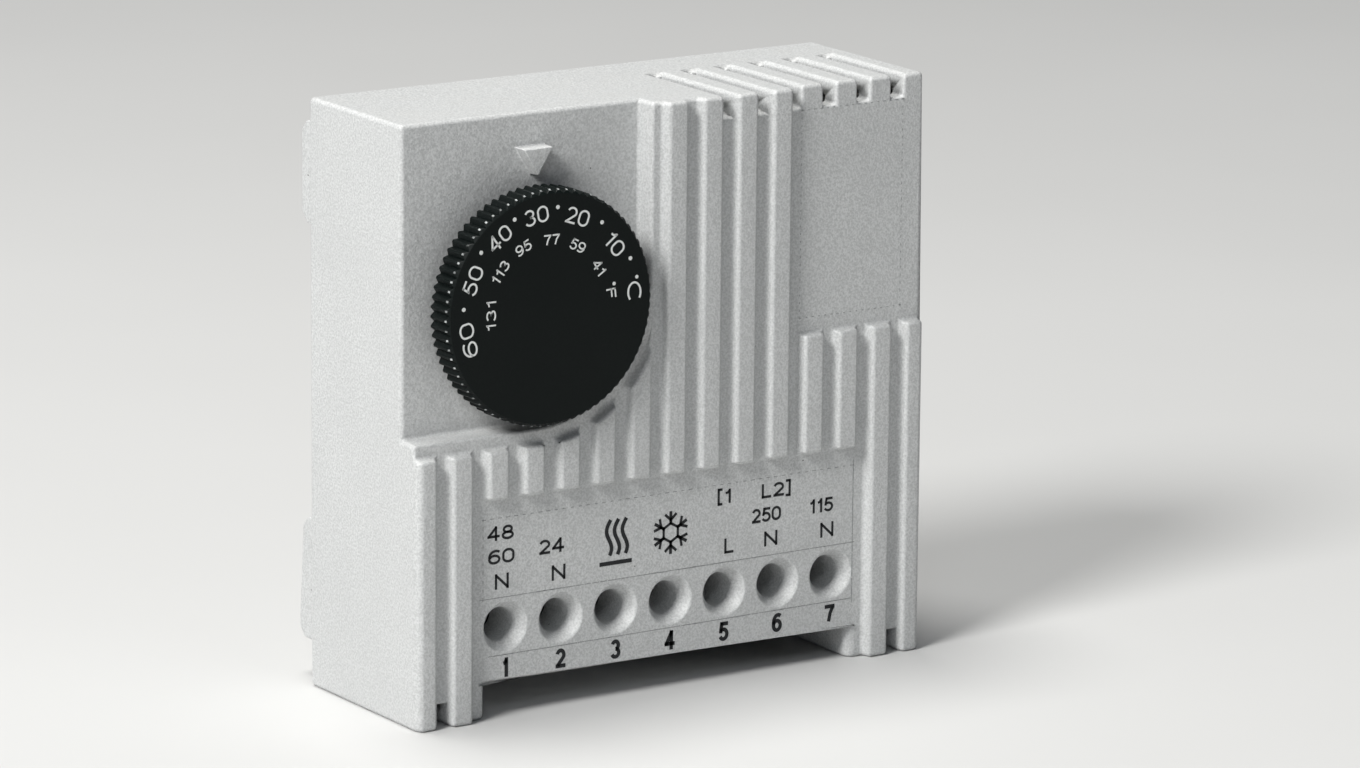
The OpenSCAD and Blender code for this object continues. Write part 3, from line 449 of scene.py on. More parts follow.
def merged_copy(node, name):
    """The solid's own mesh with its doubles welded and its flat regions joined."""
    mesh = nodes[node].data.copy()
    mesh.name = name
    mesh.materials.clear()
    work = bmesh.new()
    work.from_mesh(mesh)
    bmesh.ops.remove_doubles(work, verts=work.verts, dist=WELD)
    bmesh.ops.dissolve_limit(work, angle_limit=FLAT_WITHIN, verts=work.verts,
                             edges=work.edges, delimit={"NORMAL"})
    return mesh, work


print("doubles are nearer than", round(WELD / MM, 3), "mm")

# %% [markdown]
# The bevel could take every edge by its angle alone, but its width has to differ from place to
# place. So each sharp edge gets a share of the width, and the edges without one are marked sharp,
# which keeps them crisp. The bevel marks its new faces, and that mark becomes the attribute that the
# edge rub and its painted highlight read. The weighted normals keep flat faces flat beside their
# rounded edges.

# %% Rounded edges
SHARP_FROM = math.radians(28)


def soften(node, name, width, share_of, segments=3, inner_corners=True):
    """A copy with rounded edges. share_of gives each sharp edge its share of the width."""
    mesh, work = merged_copy(node, name)
    weight = work.edges.layers.float.new("bevel_weight_edge")
    for face in work.faces:
        face.smooth = True
    for edge in work.edges:
        if len(edge.link_faces) == 2 and edge.calc_face_angle(0) > SHARP_FROM:
            if inner_corners or edge.is_convex:
                edge[weight] = share_of(edge.verts[0].co, edge.verts[1].co)
            edge.smooth = edge[weight] > 0
    work.to_mesh(mesh)
    work.free()
    made = bpy.data.objects.new(name, mesh)
    bpy.context.scene.collection.objects.link(made)
    bevel = made.modifiers.new("soft_edges", "BEVEL")
    bevel.width = width
    bevel.segments = segments
    bevel.limit_method = "WEIGHT"
    bevel.use_clamp_overlap = False
    bevel.material = 1
    return bake_modifiers(made)


def bake_modifiers(made):
    """Turns the modifiers' result into a plain mesh with the soft_edge attribute and firm normals."""
    normals = made.modifiers.new("firm_flats", "WEIGHTED_NORMAL")
    normals.weight = 100
    normals.keep_sharp = True
    bpy.context.view_layer.update()
    result = bpy.data.meshes.new_from_object(made.evaluated_get(bpy.context.evaluated_depsgraph_get()))
    made.modifiers.clear()
    made.data = result
    rounded = result.attributes.new("soft_edge", "FLOAT", "FACE")
    rounded.data.foreach_set("value", [float(p.material_index == 1) for p in result.polygons])
    result.polygons.foreach_set("material_index", [0] * len(result.polygons))
    result.update()
    return made


print("edges sharper than", round(math.degrees(SHARP_FROM)), "degrees can be rounded")

# %% [markdown]
# A finished piece needs three more things: its material, the body that it rides on, and the solid
# that it stands for, if there is one. Setting them piece by piece invites mistakes, so one helper
# does all three and prints the piece.

# %% Dress a piece
def dress(piece, body, material, slot, *stands_for):
    """Gives a finished piece its material, rides it on its body and hides the solids that it stands for."""
    piece.data.materials.clear()
    piece.data.materials.append(material)
    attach(piece, body)
    if stands_for:
        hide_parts(*stands_for)
    print(piece.name, "faces", len(piece.data.polygons), "on", body)


print("dress is ready for", len(nodes), "solids and the pieces that replace them")

# %% [markdown]
# ## Where the cover is rounded
# The box's outline has the widest radius, the ribs a smaller one, and the pointer and the screw
# funnels hardly any. One width for all would swallow the pointer, so a rule looks at both ends of
# each edge and gives its share. Edges inside the cover don't show and get none. The back plate is
# only rounded where it stands out behind the cover, and the latch all over.

# %% Cover, rear base and latch
DIAL = Vector(((knob_low.x + knob_high.x) / 2, 0, (knob_low.z + knob_high.z) / 2))
DIAL_FLOOR = FRONT + 3.9 * MM
PANEL = FRONT + 1.2 * MM
CLOSE_BY = 0.05 * MM
SIDE_BAND = 0.4 * MM
ARCH_TOP = 4.35 * MM
FUNNELS_FROM, FUNNELS_TO = 7.5 * MM, 14.5 * MM
POINTER_FROM, POINTER_TO = DIAL.z + 14 * MM, DIAL.z + 20 * MM
POINTER_HALF = 3.5 * MM
OUTLINE_SHARE, RIB_SHARE, FUNNEL_SHARE, POINTER_SHARE = 1.0, 0.68, 0.28, 0.25
BASE_STANDS_OUT = 0.9 * MM


def on_outline(p):
    """True on the top, the foot and the back edge of the box, and close to its sides."""
    return (abs(p.x) > cover_high.x - SIDE_BAND or p.z > cover_high.z - CLOSE_BY
            or p.z < CLOSE_BY or p.y > BACK - CLOSE_BY)


def in_sight(p):
    """True from the front down to the dial's recess, on the outline and at the legs."""
    return p.y < DIAL_FLOOR + CLOSE_BY or on_outline(p) or p.z < ARCH_TOP


def at_funnel(p):
    return abs(p.y - PANEL) < CLOSE_BY and FUNNELS_FROM < p.z < FUNNELS_TO


def at_pointer(p):
    return abs(p.x - DIAL.x) < POINTER_HALF and POINTER_FROM < p.z < POINTER_TO


def cover_share(a, b):
    if not (in_sight(a) and in_sight(b)):
        return 0.0
    if at_funnel(a) and at_funnel(b):
        return FUNNEL_SHARE
    if at_pointer(a) and at_pointer(b):
        return POINTER_SHARE
    if on_outline(a) and on_outline(b):
        return OUTLINE_SHARE
    return RIB_SHARE


def base_share(a, b):
    return 1.0 if min(a.y, b.y) > BACK - BASE_STANDS_OUT else 0.0


def latch_share(a, b):
    return 1.0


cover = soften("front_cover", "moulded_cover", 0.56 * MM, cover_share)
dress(cover, "housing", grey_housing, "housing_plastic", "front_cover")
base = soften("rear_base", "moulded_base", 0.25 * MM, base_share, segments=2, inner_corners=False)
dress(base, "housing", grey_housing, "housing_plastic", "rear_base")
latch = soften("rail_latch", "moulded_latch", 0.25 * MM, latch_share, segments=2)
dress(latch, "latch", grey_housing, "housing_plastic", "rail_latch")


# %% [markdown]
# ## Geometry Nodes: one helper for every tree
# Teeth, dots, dashes and a coil all repeat one small shape. Copying meshes in a loop would work, but
# a tree with named inputs can be changed later in the editor. The helper runs a tree on an object,
# sets the inputs by their socket identifiers before the first evaluation, and replaces the object's
# mesh with the plain result.

# %% Run a tree
def new_tree(name, inputs):
    tree = bpy.data.node_groups.new(name, "GeometryNodeTree")
    tree.interface.new_socket("Geometry", in_out="INPUT", socket_type="NodeSocketGeometry")
    for label, kind, value in inputs:
        socket = tree.interface.new_socket(label, in_out="INPUT", socket_type="NodeSocket" + kind)
        if value is not None:
            socket.default_value = value
    tree.interface.new_socket("Geometry", in_out="OUTPUT", socket_type="NodeSocketGeometry")
    return tree, tree.nodes.new("NodeGroupInput").outputs, tree.nodes.new("NodeGroupOutput")


def close_tree(tree, geometry, given, end):
    """Every tree ends in Realize Instances and Set Material."""
    real = add(tree, "GeometryNodeRealizeInstances", None, {0: geometry}).outputs[0]
    painted = add(tree, "GeometryNodeSetMaterial", None, None, Geometry=real, Material=given["Material"])
    tree.links.new(painted.outputs[0], end.inputs[0])


def grow(name, tree, mesh=None, place=Matrix(), **values):
    """Runs the tree on a new object that starts from the mesh, and returns it with a plain mesh."""
    made = bpy.data.objects.new(name, mesh or bpy.data.meshes.new(name))
    bpy.context.scene.collection.objects.link(made)
    modifier = made.modifiers.new(tree.name, "NODES")
    modifier.node_group = tree
    for item in tree.interface.items_tree:
        label = item.name.replace(" ", "_")
        if item.in_out == "INPUT" and label in values:
            modifier[item.identifier] = values[label]
    bpy.context.view_layer.update()
    result = bpy.data.meshes.new_from_object(made.evaluated_get(bpy.context.evaluated_depsgraph_get()))
    made.modifiers.clear()
    made.data = result
    result.transform(place)
    return made


print("tree helpers: new_tree, close_tree, grow")


# %% [markdown]
# ## One slice of the knob
# The knob has 76 V-shaped teeth for the fingers. Cutting them from a disc would need 76 clean cuts.
# Its shape follows a rule instead: one narrow slice, from the middle of the face over one tooth to
# the hollow behind. The front is turned round, so the teeth only start behind it, and each tooth's
# front corner gets a light facet, partly rubbed plastic and partly a painted highlight.

# %% Slice of the knob
KNOB_FACE = knob_low.y
KNOB_R = (knob_high.x - knob_low.x) / 2
FLAT_R = 12.6 * MM
HUB_R = 4.6 * MM
BORE_R = 2.52 * MM
KNOB_WALL = 1.7 * MM
RIM_DEPTH = 3.8 * MM
HUB_DEPTH = knob_high.y - KNOB_FACE
HOLLOW_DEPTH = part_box("dial_spindle")[0].y - KNOB_FACE
TEETH = 76
TOOTH = 0.45 * MM
TIP_HALF = 0.12 * MM
CHAMFER = 0.42 * MM
WORN_LIT_FACET = 0.13 * MM
WORN_LIT_RING = 3
RIM_CUT, HOLLOW_CUT, HUB_CUT = 0.12 * MM, 0.15 * MM, 0.1 * MM
QUADS_PER_RING = 3


def knob_slice():
    """Rings of (tip radius, tip depth, root radius, root depth) from the face's middle to the bore."""
    tip, root = KNOB_R, KNOB_R - TOOTH
    inside = root - KNOB_WALL
    rings = [(0, 0, 0, 0), (FLAT_R, 0, FLAT_R, 0), (root, 0, root, 0),
             (tip - WORN_LIT_FACET, CHAMFER - WORN_LIT_FACET, root, 0.02 * MM), (tip, CHAMFER + WORN_LIT_FACET, root, 0.05 * MM)]
    rings += [(t, depth, r, depth) for t, r, depth in (
        (tip, root, RIM_DEPTH - RIM_CUT), (tip - RIM_CUT, root - RIM_CUT, RIM_DEPTH),
        (inside + HOLLOW_CUT, inside + HOLLOW_CUT, RIM_DEPTH), (inside, inside, RIM_DEPTH - HOLLOW_CUT),
        (inside, inside, HOLLOW_DEPTH), (HUB_R, HUB_R, HOLLOW_DEPTH), (HUB_R, HUB_R, HUB_DEPTH - HUB_CUT),
        (HUB_R - HUB_CUT, HUB_R - HUB_CUT, HUB_DEPTH), (BORE_R, BORE_R, HUB_DEPTH),
        (BORE_R, BORE_R, HOLLOW_DEPTH), (0, 0, HOLLOW_DEPTH))]
    half, flat = math.pi / TEETH, TIP_HALF / KNOB_R
    points, faces = [], []
    for tip_r, tip_d, root_r, root_d in rings:
        for angle, radius, depth in ((-half, root_r, root_d), (-flat, tip_r, tip_d),
                                     (flat, tip_r, tip_d), (half, root_r, root_d)):
            points.append((radius * math.sin(angle), depth, radius * math.cos(angle)))
    for i in range(len(rings) - 1):
        for j in range(QUADS_PER_RING):
            a, b = 4 * i + j, 4 * (i + 1) + j
            faces.append((a, b, b + 1, a + 1))
    mesh = bpy.data.meshes.new("knob_slice")
    mesh.from_pydata(points, [], faces)
    # The marked facet at each tooth's front corner takes the light edge colour, a painted highlight with
    # some rubbing.
    worn_lit_face = WORN_LIT_RING * QUADS_PER_RING + 1
    worn_lit_corner = mesh.attributes.new("soft_edge", "FLOAT", "FACE")
    worn_lit_corner.data.foreach_set("value", [float(i == worn_lit_face) for i in range(len(faces))])
    work = bmesh.new()
    work.from_mesh(mesh)
    bmesh.ops.remove_doubles(work, verts=work.verts, dist=1e-7)
    work.to_mesh(mesh)
    work.free()
    return mesh


one_slice = knob_slice()
print("slice faces", len(one_slice.polygons), "hub to", round(HUB_DEPTH / MM, 2), "mm")

# %% [markdown]
# ## The slice, turned round
# A screw or array modifier could repeat the slice, but this tree also welds the seams and serves the
# snowflake later. It puts one copy on each point of a row whose points all lie on the axis, turns
# each copy by its number times the step, and welds the doubles.

# %% Knob
turn_tree, given, end = new_tree("turn_and_weld", [
    ("Count", "Int", TEETH), ("Step", "Float", 0.1), ("Weld", "Float", 1e-6),
    ("Material", "Material", None)])
points = add(turn_tree, "GeometryNodeMeshLine", None, None,
             Count=given["Count"], Offset=(0, 0, 0)).outputs[0]
index = add(turn_tree, "GeometryNodeInputIndex").outputs[0]
angle = calc(turn_tree, "MULTIPLY", index, given["Step"])
spin = add(turn_tree, "ShaderNodeCombineXYZ", None, None, Y=angle).outputs[0]
copies = add(turn_tree, "GeometryNodeInstanceOnPoints", None, None,
             Points=points, Instance=given["Geometry"], Rotation=spin).outputs[0]
real = add(turn_tree, "GeometryNodeRealizeInstances", None, {0: copies}).outputs[0]
welded = add(turn_tree, "GeometryNodeMergeByDistance", None, None,
             Geometry=real, Distance=given["Weld"]).outputs[0]
close_tree(turn_tree, welded, given, end)

knob = grow("toothed_knob", turn_tree, one_slice, Matrix.Translation((DIAL.x, KNOB_FACE, DIAL.z)),
            Count=TEETH, Step=2 * math.pi / TEETH, Weld=WELD, Material=black_knob)
work = bmesh.new()
work.from_mesh(knob.data)
bmesh.ops.recalc_face_normals(work, faces=work.faces)
open_edges = sum(1 for e in work.edges if len(e.link_faces) != 2)
work.to_mesh(knob.data)
work.free()
dress(knob, "dial", black_knob, "knob_plastic", "dial_knob")
print("knob open edges", open_edges)


# %% [markdown]
# ## Printed marks
# The scale on the knob and the marks on the panel are printed with one even line. A text object
# would bring a font whose strokes don't match, so each mark is a flat ribbon of ink, a few
# hundredths of a millimetre thick, along a few points. A bow is part of an oval, and it gives every
# round form. Straight strokes run on by half a line, which closes corners.

# %% Ribbon of ink
INK = 0.02 * MM
BOW_STEP = 15


def bow(middle_x, middle_y, radius_x, radius_y, start, stop):
    """Points on an oval from one angle to another, in degrees from the right, turning left."""
    steps = max(2, round(abs(stop - start) / BOW_STEP))
    turns = [math.radians(start + (stop - start) * i / steps) for i in range(steps + 1)]
    return [(middle_x + radius_x * math.cos(a), middle_y + radius_y * math.sin(a)) for a in turns]


def ribbon(work, points, width, closed=False):
    """Adds a flat closed strip of even width along 2D points in metres."""
    points = [Vector(p) for p in points]
    if not closed and len(points) == 2:
        reach = (points[1] - points[0]).normalized() * width / 2
        points = [points[0] - reach, points[1] + reach]
    count = len(points)
    rings = []
    for i in range(count):
        before = points[i - 1] if closed or i else points[0]
        after = points[(i + 1) % count] if closed or i < count - 1 else points[-1]
        side = (after - before).normalized().orthogonal() * width / 2
        corners = [(points[i] + side, INK), (points[i] - side, INK),
                   (points[i] - side, -INK), (points[i] + side, -INK)]
        rings.append([work.verts.new((q.x, q.y, up)) for q, up in corners])
    if closed:
        rings.append(rings[0])
    made = [work.faces.new((a[j], a[(j + 1) % 4], b[(j + 1) % 4], b[j]))
            for a, b in zip(rings, rings[1:]) for j in range(4)]
    if not closed:
        made += [work.faces.new(rings[0][::-1]), work.faces.new(rings[-1])]
    bmesh.ops.recalc_face_normals(work, faces=made)


print("a full circle has", len(bow(0, 0, 1, 1, 0, 360)) - 1, "straight pieces")

# %% [markdown]
# ## One-line figures
# The figures are drawn on a box that is one high, each with its width and a list of strokes, in the
# plain rounded way of a pen plotter. They could be traced from the photograph, but a few ovals and
# lines hold the same forms and stay sharp at any size.

# %% Figures and letters
SIX = [bow(0.31, 0.31, 0.31, 0.31, 0, 345), bow(0.4, 0.5, 0.4, 0.5, 190, 55)]
FIGURES = {
    "0": (0.62, [bow(0.31, 0.66, 0.31, 0.34, 90, 180) + bow(0.31, 0.34, 0.31, 0.34, 180, 360)
                 + bow(0.31, 0.66, 0.31, 0.34, 0, 75)]),
    "1": (0.36, [[(0.02, 0.76), (0.17, 0.8), (0.3, 1.0)], [(0.3, 1.0), (0.3, 0.0)]]),
    "2": (0.6, [bow(0.3, 0.7, 0.28, 0.3, 165, -30) + [(0.05, 0.03)], [(0.03, 0.0), (0.58, 0.0)]]),
    "3": (0.6, [bow(0.29, 0.75, 0.26, 0.25, 160, -85), bow(0.29, 0.26, 0.3, 0.26, 85, -160)]),
    "4": (0.64, [[(0.46, 0.0), (0.46, 1.0)], [(0.44, 0.98), (0.02, 0.3)], [(0.0, 0.27), (0.62, 0.27)]]),
    "5": (0.6, [[(0.54, 1.0), (0.13, 1.0)], [(0.13, 0.98), (0.06, 0.52)],
                bow(0.28, 0.31, 0.31, 0.32, 140, -155)]),
    "6": (0.62, SIX),
    "7": (0.58, [[(0.0, 1.0), (0.56, 1.0)], [(0.56, 0.97), (0.33, 0.55), (0.2, 0.0)]]),
    "8": (0.62, [bow(0.31, 0.75, 0.25, 0.25, 0, 345), bow(0.31, 0.26, 0.31, 0.26, 0, 345)]),
    "9": (0.62, [[(0.62 - x, 1 - y) for x, y in line] for line in SIX]),
    "C": (0.72, [bow(0.37, 0.5, 0.37, 0.5, 48, 312)]),
    "F": (0.5, [[(0.0, 0.0), (0.0, 1.0)], [(0.0, 1.0), (0.48, 1.0)], [(0.0, 0.54), (0.42, 0.54)]]),
    "L": (0.5, [[(0.0, 1.0), (0.0, 0.0)], [(0.0, 0.0), (0.48, 0.0)]]),
    "N": (0.64, [[(0.0, 0.0), (0.0, 1.0)], [(0.02, 0.96), (0.6, 0.04)], [(0.62, 0.0), (0.62, 1.0)]]),
    "[": (0.2, [[(0.18, 1.12), (0.0, 1.12)], [(0.0, 1.12), (0.0, -0.12)], [(0.0, -0.12), (0.18, -0.12)]]),
    "]": (0.2, [[(0.0, 1.12), (0.18, 1.12)], [(0.18, 1.12), (0.18, -0.12)], [(0.18, -0.12), (0.0, -0.12)]])}
BETWEEN = 0.25
print("figures", "".join(sorted(FIGURES)), "with a gap of", BETWEEN)

# %% [markdown]
# ## Words on a surface
# A word is scaled to the height and width it has on the real knob or panel, and only then gets its
# line. Scaling the finished ribbons would be simpler, but their line would get thick and thin. A
# stroke whose ends nearly meet is closed. The flat words are then laid on the front and joined.

# %% Words, their place and joined pieces
ENDS_MEET = 0.15


def letters(words, height, width, line):
    """A mesh of the words, centred in its own X and Y. Sizes are in millimetres over the ink."""
    reach = sum(FIGURES[w][0] for w in words) + BETWEEN * (len(words) - 1)
    wide, high = (width - line) / reach, height - line
    left = (width - line) / 2
    work = bmesh.new()
    x = 0.0
    for w in words:
        for stroke in FIGURES[w][1]:
            placed = [(((x + px) * wide - left) * MM, (py - 0.5) * high * MM) for px, py in stroke]
            closed = math.dist(stroke[0], stroke[-1]) < ENDS_MEET
            ribbon(work, placed, line * MM, closed)
        x += FIGURES[w][0] + BETWEEN
    mesh = bpy.data.meshes.new("letters")
    work.to_mesh(mesh)
    work.free()
    return mesh


def facing_front(x, depth_y, z, angle=0.0):
    """Lays a flat mesh on the front at x and z, turned clockwise by the angle in degrees."""
    a = math.radians(angle)
    axes = Matrix(((math.cos(a), 0, -math.sin(a)), (math.sin(a), 0, math.cos(a)), (0, -1, 0)))
    return Matrix.Translation((x, depth_y, z)) @ axes.transposed().to_4x4()


def one_piece(name, placed):
    """Joins (mesh, place) pairs into one object."""
    work = bmesh.new()
    for mesh, place in placed:
        mesh = mesh.copy()
        mesh.transform(place)
        work.from_mesh(mesh)
        bpy.data.meshes.remove(mesh)
    joined = bpy.data.meshes.new(name)
    work.to_mesh(joined)
    work.free()
    made = bpy.data.objects.new(name, joined)
    bpy.context.scene.collection.objects.link(made)
    return made


print("strokes close when their ends are nearer than", ENDS_MEET)

# %% [markdown]
# ## The knob's scale
# Two rings of numbers are printed on the knob, degrees Celsius outside and Fahrenheit inside. They
# could be spread by a rule, but a bimetal's scale isn't even, so each number has its own angle,
# clockwise from the top, its radius and its width, as they are on the real knob. The piece rides on
# the dial and turns with it.

# %% Numbers on the knob
def on_knob(angle, radius):
    a = math.radians(angle)
    x = DIAL.x + radius * MM * math.sin(a)
    return facing_front(x, KNOB_FACE, DIAL.z + radius * MM * math.cos(a), angle)


OUTER_H, OUTER_LINE = 1.95, 0.24
INNER_H, INNER_LINE = 1.3, 0.19
outer_numbers = [("60", -102.4, 11.4, 4.1), ("50", -67.0, 11.45, 3.4), ("40", -37.7, 11.4, 3.3),
                 ("30", -10.3, 11.3, 3.25), ("20", 19.0, 11.05, 3.2), ("10", 52.4, 10.95, 2.9),
                 ("C", 86.4, 11.45, 2.5)]
inner_numbers = [("131", -89.5, 8.1, 3.6), ("113", -53.8, 8.5, 2.9), ("95", -26.4, 8.45, 2.15),
                 ("77", 0.6, 8.1, 2.15), ("59", 27.2, 7.9, 2.15), ("41", 57.6, 7.75, 1.95),
                 ("F", 83.8, 8.3, 1.2)]
placed = [(letters(w, OUTER_H, width, OUTER_LINE), on_knob(a, r)) for w, a, r, width in outer_numbers]
placed += [(letters(w, INNER_H, width, INNER_LINE), on_knob(a, r)) for w, a, r, width in inner_numbers]
scale = one_piece("knob_scale", placed)
dress(scale, "dial", white_ink, "knob_plastic")


# %% [markdown]
# ## Dots on the knob
# A dot stands halfway between two numbers, and a smaller one stands for the degree sign. A row of
# separate discs would be as many objects, so one disc is placed on every point of a mesh that holds
# nothing but the places.

# %% Dots
DOT_R, DEGREE_R = 0.25 * MM, 0.22 * MM
DOT_SIDES = 20

dot_tree, given, end = new_tree("dots_on_points", [
    ("Radius", "Float", DOT_R), ("Height", "Float", INK), ("Material", "Material", None)])
disc = add(dot_tree, "GeometryNodeMeshCylinder", None, None,
           Vertices=DOT_SIDES, Radius=given["Radius"], Depth=given["Height"]).outputs["Mesh"]
dots = add(dot_tree, "GeometryNodeInstanceOnPoints", None, None,
           Points=given["Geometry"], Instance=disc, Rotation=(math.pi / 2, 0, 0)).outputs[0]
close_tree(dot_tree, dots, given, end)


def ring_points(name, places):
    mesh = bpy.data.meshes.new(name)
    mesh.from_pydata([on_knob(a, r).to_translation() for a, r in places], [], [])
    return mesh


half_marks = [(-84.1, 11.85), (-51.1, 12.15), (-24.3, 12.1), (4.2, 11.9), (36.2, 11.7), (66.3, 11.85)]
dots = grow("scale_dots", dot_tree, ring_points("scale_dots", half_marks),
            Radius=DOT_R, Height=2 * INK, Material=white_ink)
dress(dots, "dial", white_ink, "knob_plastic")
degree_places = [(78.1, 12.0), (76.9, 8.85)]
degree_marks = grow("degree_dots", dot_tree, ring_points("degree_dots", degree_places),
                    Radius=DEGREE_R, Height=2 * INK, Material=white_ink)
dress(degree_marks, "dial", white_ink, "knob_plastic")

# %% [markdown]
# ## Film edges
# The panel and the label area are covered by a transparent film whose thin edge shows as a broken
# line. A clear sheet could be modelled, but it would hardly show, and only its edge matters. So a
# tree lays one flat dash on a row of points and varies its length with a fixed seed.

# %% Broken film edges on the panel and the label area
DASH_W = 0.09
SHORTEST_DASH = 0.55

dash_tree, given, end = new_tree("broken_line", [
    ("Count", "Int", 10), ("Step", "Float", MM), ("Dash", "Float", 0.7 * MM),
    ("Width", "Float", 0.1 * MM), ("Height", "Float", INK), ("Seed", "Int", 3),
    ("Material", "Material", None)])
offset = add(dash_tree, "ShaderNodeCombineXYZ", None, None, X=given["Step"]).outputs[0]
row = add(dash_tree, "GeometryNodeMeshLine", None, None, Count=given["Count"], Offset=offset).outputs[0]
size = add(dash_tree, "ShaderNodeCombineXYZ", None, None,
           X=given["Dash"], Y=given["Width"], Z=given["Height"]).outputs[0]
dash = add(dash_tree, "GeometryNodeMeshCube", None, None, Size=size).outputs["Mesh"]
uneven = add(dash_tree, "FunctionNodeRandomValue", {"data_type": "FLOAT"},
             {2: SHORTEST_DASH, 3: 1.0}, Seed=given["Seed"])
stretch = add(dash_tree, "ShaderNodeCombineXYZ", None, None, X=uneven.outputs[1], Y=1.0, Z=1.0).outputs[0]
dashes = add(dash_tree, "GeometryNodeInstanceOnPoints", None, None,
             Points=row, Instance=dash, Scale=stretch).outputs[0]
close_tree(dash_tree, dashes, given, end)


def from_left(x):
    """Places are measured in millimetres from the box's left side."""
    return solid_box[0].x + x * MM


def film_edge(x, z, length, upright, step, dash, seed):
    """One broken line as a mesh in its place, and the place it still needs, which is none."""
    count = int(length / step) + 1
    place = facing_front(from_left(x), PANEL, z * MM, -90 if upright else 0)
    line = grow("dashes", dash_tree, None, place, Count=count, Step=length / (count - 1) * MM,
                Dash=dash * MM, Width=DASH_W * MM, Height=2 * INK, Seed=seed, Material=film_line)
    mesh = line.data
    bpy.data.objects.remove(line)
    return mesh, Matrix()


film_edges = one_piece("film_edges", [
    film_edge(9.6, 24.0, 51.8, False, 1.1, 0.6, 3), film_edge(9.6, 14.45, 51.8, False, 1.1, 1.5, 4),
    film_edge(10.8, 7.5, 50.2, False, 1.1, 1.5, 5), film_edge(9.5, 14.5, 9.5, True, 1.0, 0.5, 6),
    film_edge(61.6, 7.5, 16.5, True, 1.0, 1.3, 7), film_edge(53.6, 42.9, 14.4, False, 0.9, 0.35, 8),
    film_edge(53.6, 68.0, 14.4, False, 0.9, 0.45, 9), film_edge(53.5, 42.9, 25.1, True, 0.9, 0.3, 10),
    film_edge(68.0, 42.9, 25.1, True, 0.9, 0.35, 11)])
dress(film_edges, "housing", film_line, "housing_plastic")

# %% [markdown]
# ## Marks on the panel
# Below each hole stands its number in a bold line, above it what is wired there in a fine one. The
# numbers could be typed in as places, but they follow the terminal screws, so each takes its place
# from its own screw. The finer marks have their own places, measured from the left and the foot.

# %% Numbers and letters on the panel
NUMBER_H, NUMBER_LINE, NUMBER_UP = 2.35, 0.48, 5.95
FINE_LINE = 0.31
SUPPLY_H, LETTER_H = 1.75, 1.85


def on_panel(words, x, z, height, width):
    return letters(words, height, width, FINE_LINE), facing_front(from_left(x), PANEL, z * MM)


placed = []
for k in range(1, 8):
    screw_low, screw_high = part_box("terminal_screw_%d" % k)
    number = letters(str(k), NUMBER_H, 1.0 if k == 1 else 1.45, NUMBER_LINE)
    placed.append((number, facing_front((screw_low.x + screw_high.x) / 2, PANEL, NUMBER_UP * MM)))
placed += [on_panel(w, x, z, SUPPLY_H, width) for w, x, z, width in (
    ("48", 11.9, 22.2, 3.6), ("60", 12.0, 19.4, 3.6), ("24", 18.9, 19.7, 3.5), ("[1", 43.1, 22.5, 2.0),
    ("L2]", 50.5, 22.4, 4.2), ("250", 49.1, 19.5, 4.2), ("115", 57.0, 19.6, 3.5))]
placed += [on_panel(w, x, z, LETTER_H, width) for w, x, z, width in (
    ("N", 12.1, 16.4, 1.95), ("N", 19.9, 16.4, 1.95), ("L", 43.8, 16.4, 1.35),
    ("N", 49.8, 16.5, 1.95), ("N", 57.9, 16.5, 1.95))]
panel_marks = one_piece("panel_marks", placed)
dress(panel_marks, "housing", black_ink, "housing_plastic")


# %% [markdown]
# ## The heat sign
# Terminal 3 switches heating and terminal 4 cooling, so a heat sign and a snowflake stand above them.
# The heat sign is three equal waves over a bar. Drawing each wave apart would never be as even, so
# one wave follows a sine and is placed three times.

# %% Heat sign
WAVE_STEPS = 14
WAVE_H, WAVE_SWING, WAVE_LEAN = 4.3, 0.42, 0.25
WAVE_TURNS, WAVE_START = 0.95, 0.5
SIGN_LINE = 0.5


def stroke(points, line):
    """One ribbon as a mesh, with points and line in millimetres."""
    work = bmesh.new()
    ribbon(work, [(x * MM, y * MM) for x, y in points], line * MM)
    mesh = bpy.data.meshes.new("stroke")
    work.to_mesh(mesh)
    work.free()
    return mesh


def wave_point(share):
    """A point on a rising wave, share 0 at its foot and 1 at its top."""
    swing = WAVE_SWING * math.sin(share * 2 * math.pi * WAVE_TURNS + WAVE_START)
    return swing + WAVE_LEAN * share, WAVE_H * (share - 0.5)


wave = [wave_point(i / WAVE_STEPS) for i in range(WAVE_STEPS + 1)]
signs = [(stroke(wave, SIGN_LINE), facing_front(from_left(x), PANEL, 19.6 * MM))
         for x in (26.75, 27.85, 28.95)]
signs.append((stroke([(-2.0, 0), (2.0, 0)], SIGN_LINE), facing_front(from_left(27.8), PANEL, 16.5 * MM)))
heat_sign = one_piece("heat_sign", signs)
dress(heat_sign, "housing", black_ink, "housing_plastic")

# %% [markdown]
# ## The snowflake
# The snowflake has six equal arms with two branches each, joined by a ring of six short lines. All
# six could be drawn, but a turned copy is exactly even. So one arm with its part of the ring is
# drawn, and the tree that made the knob turns it six times.

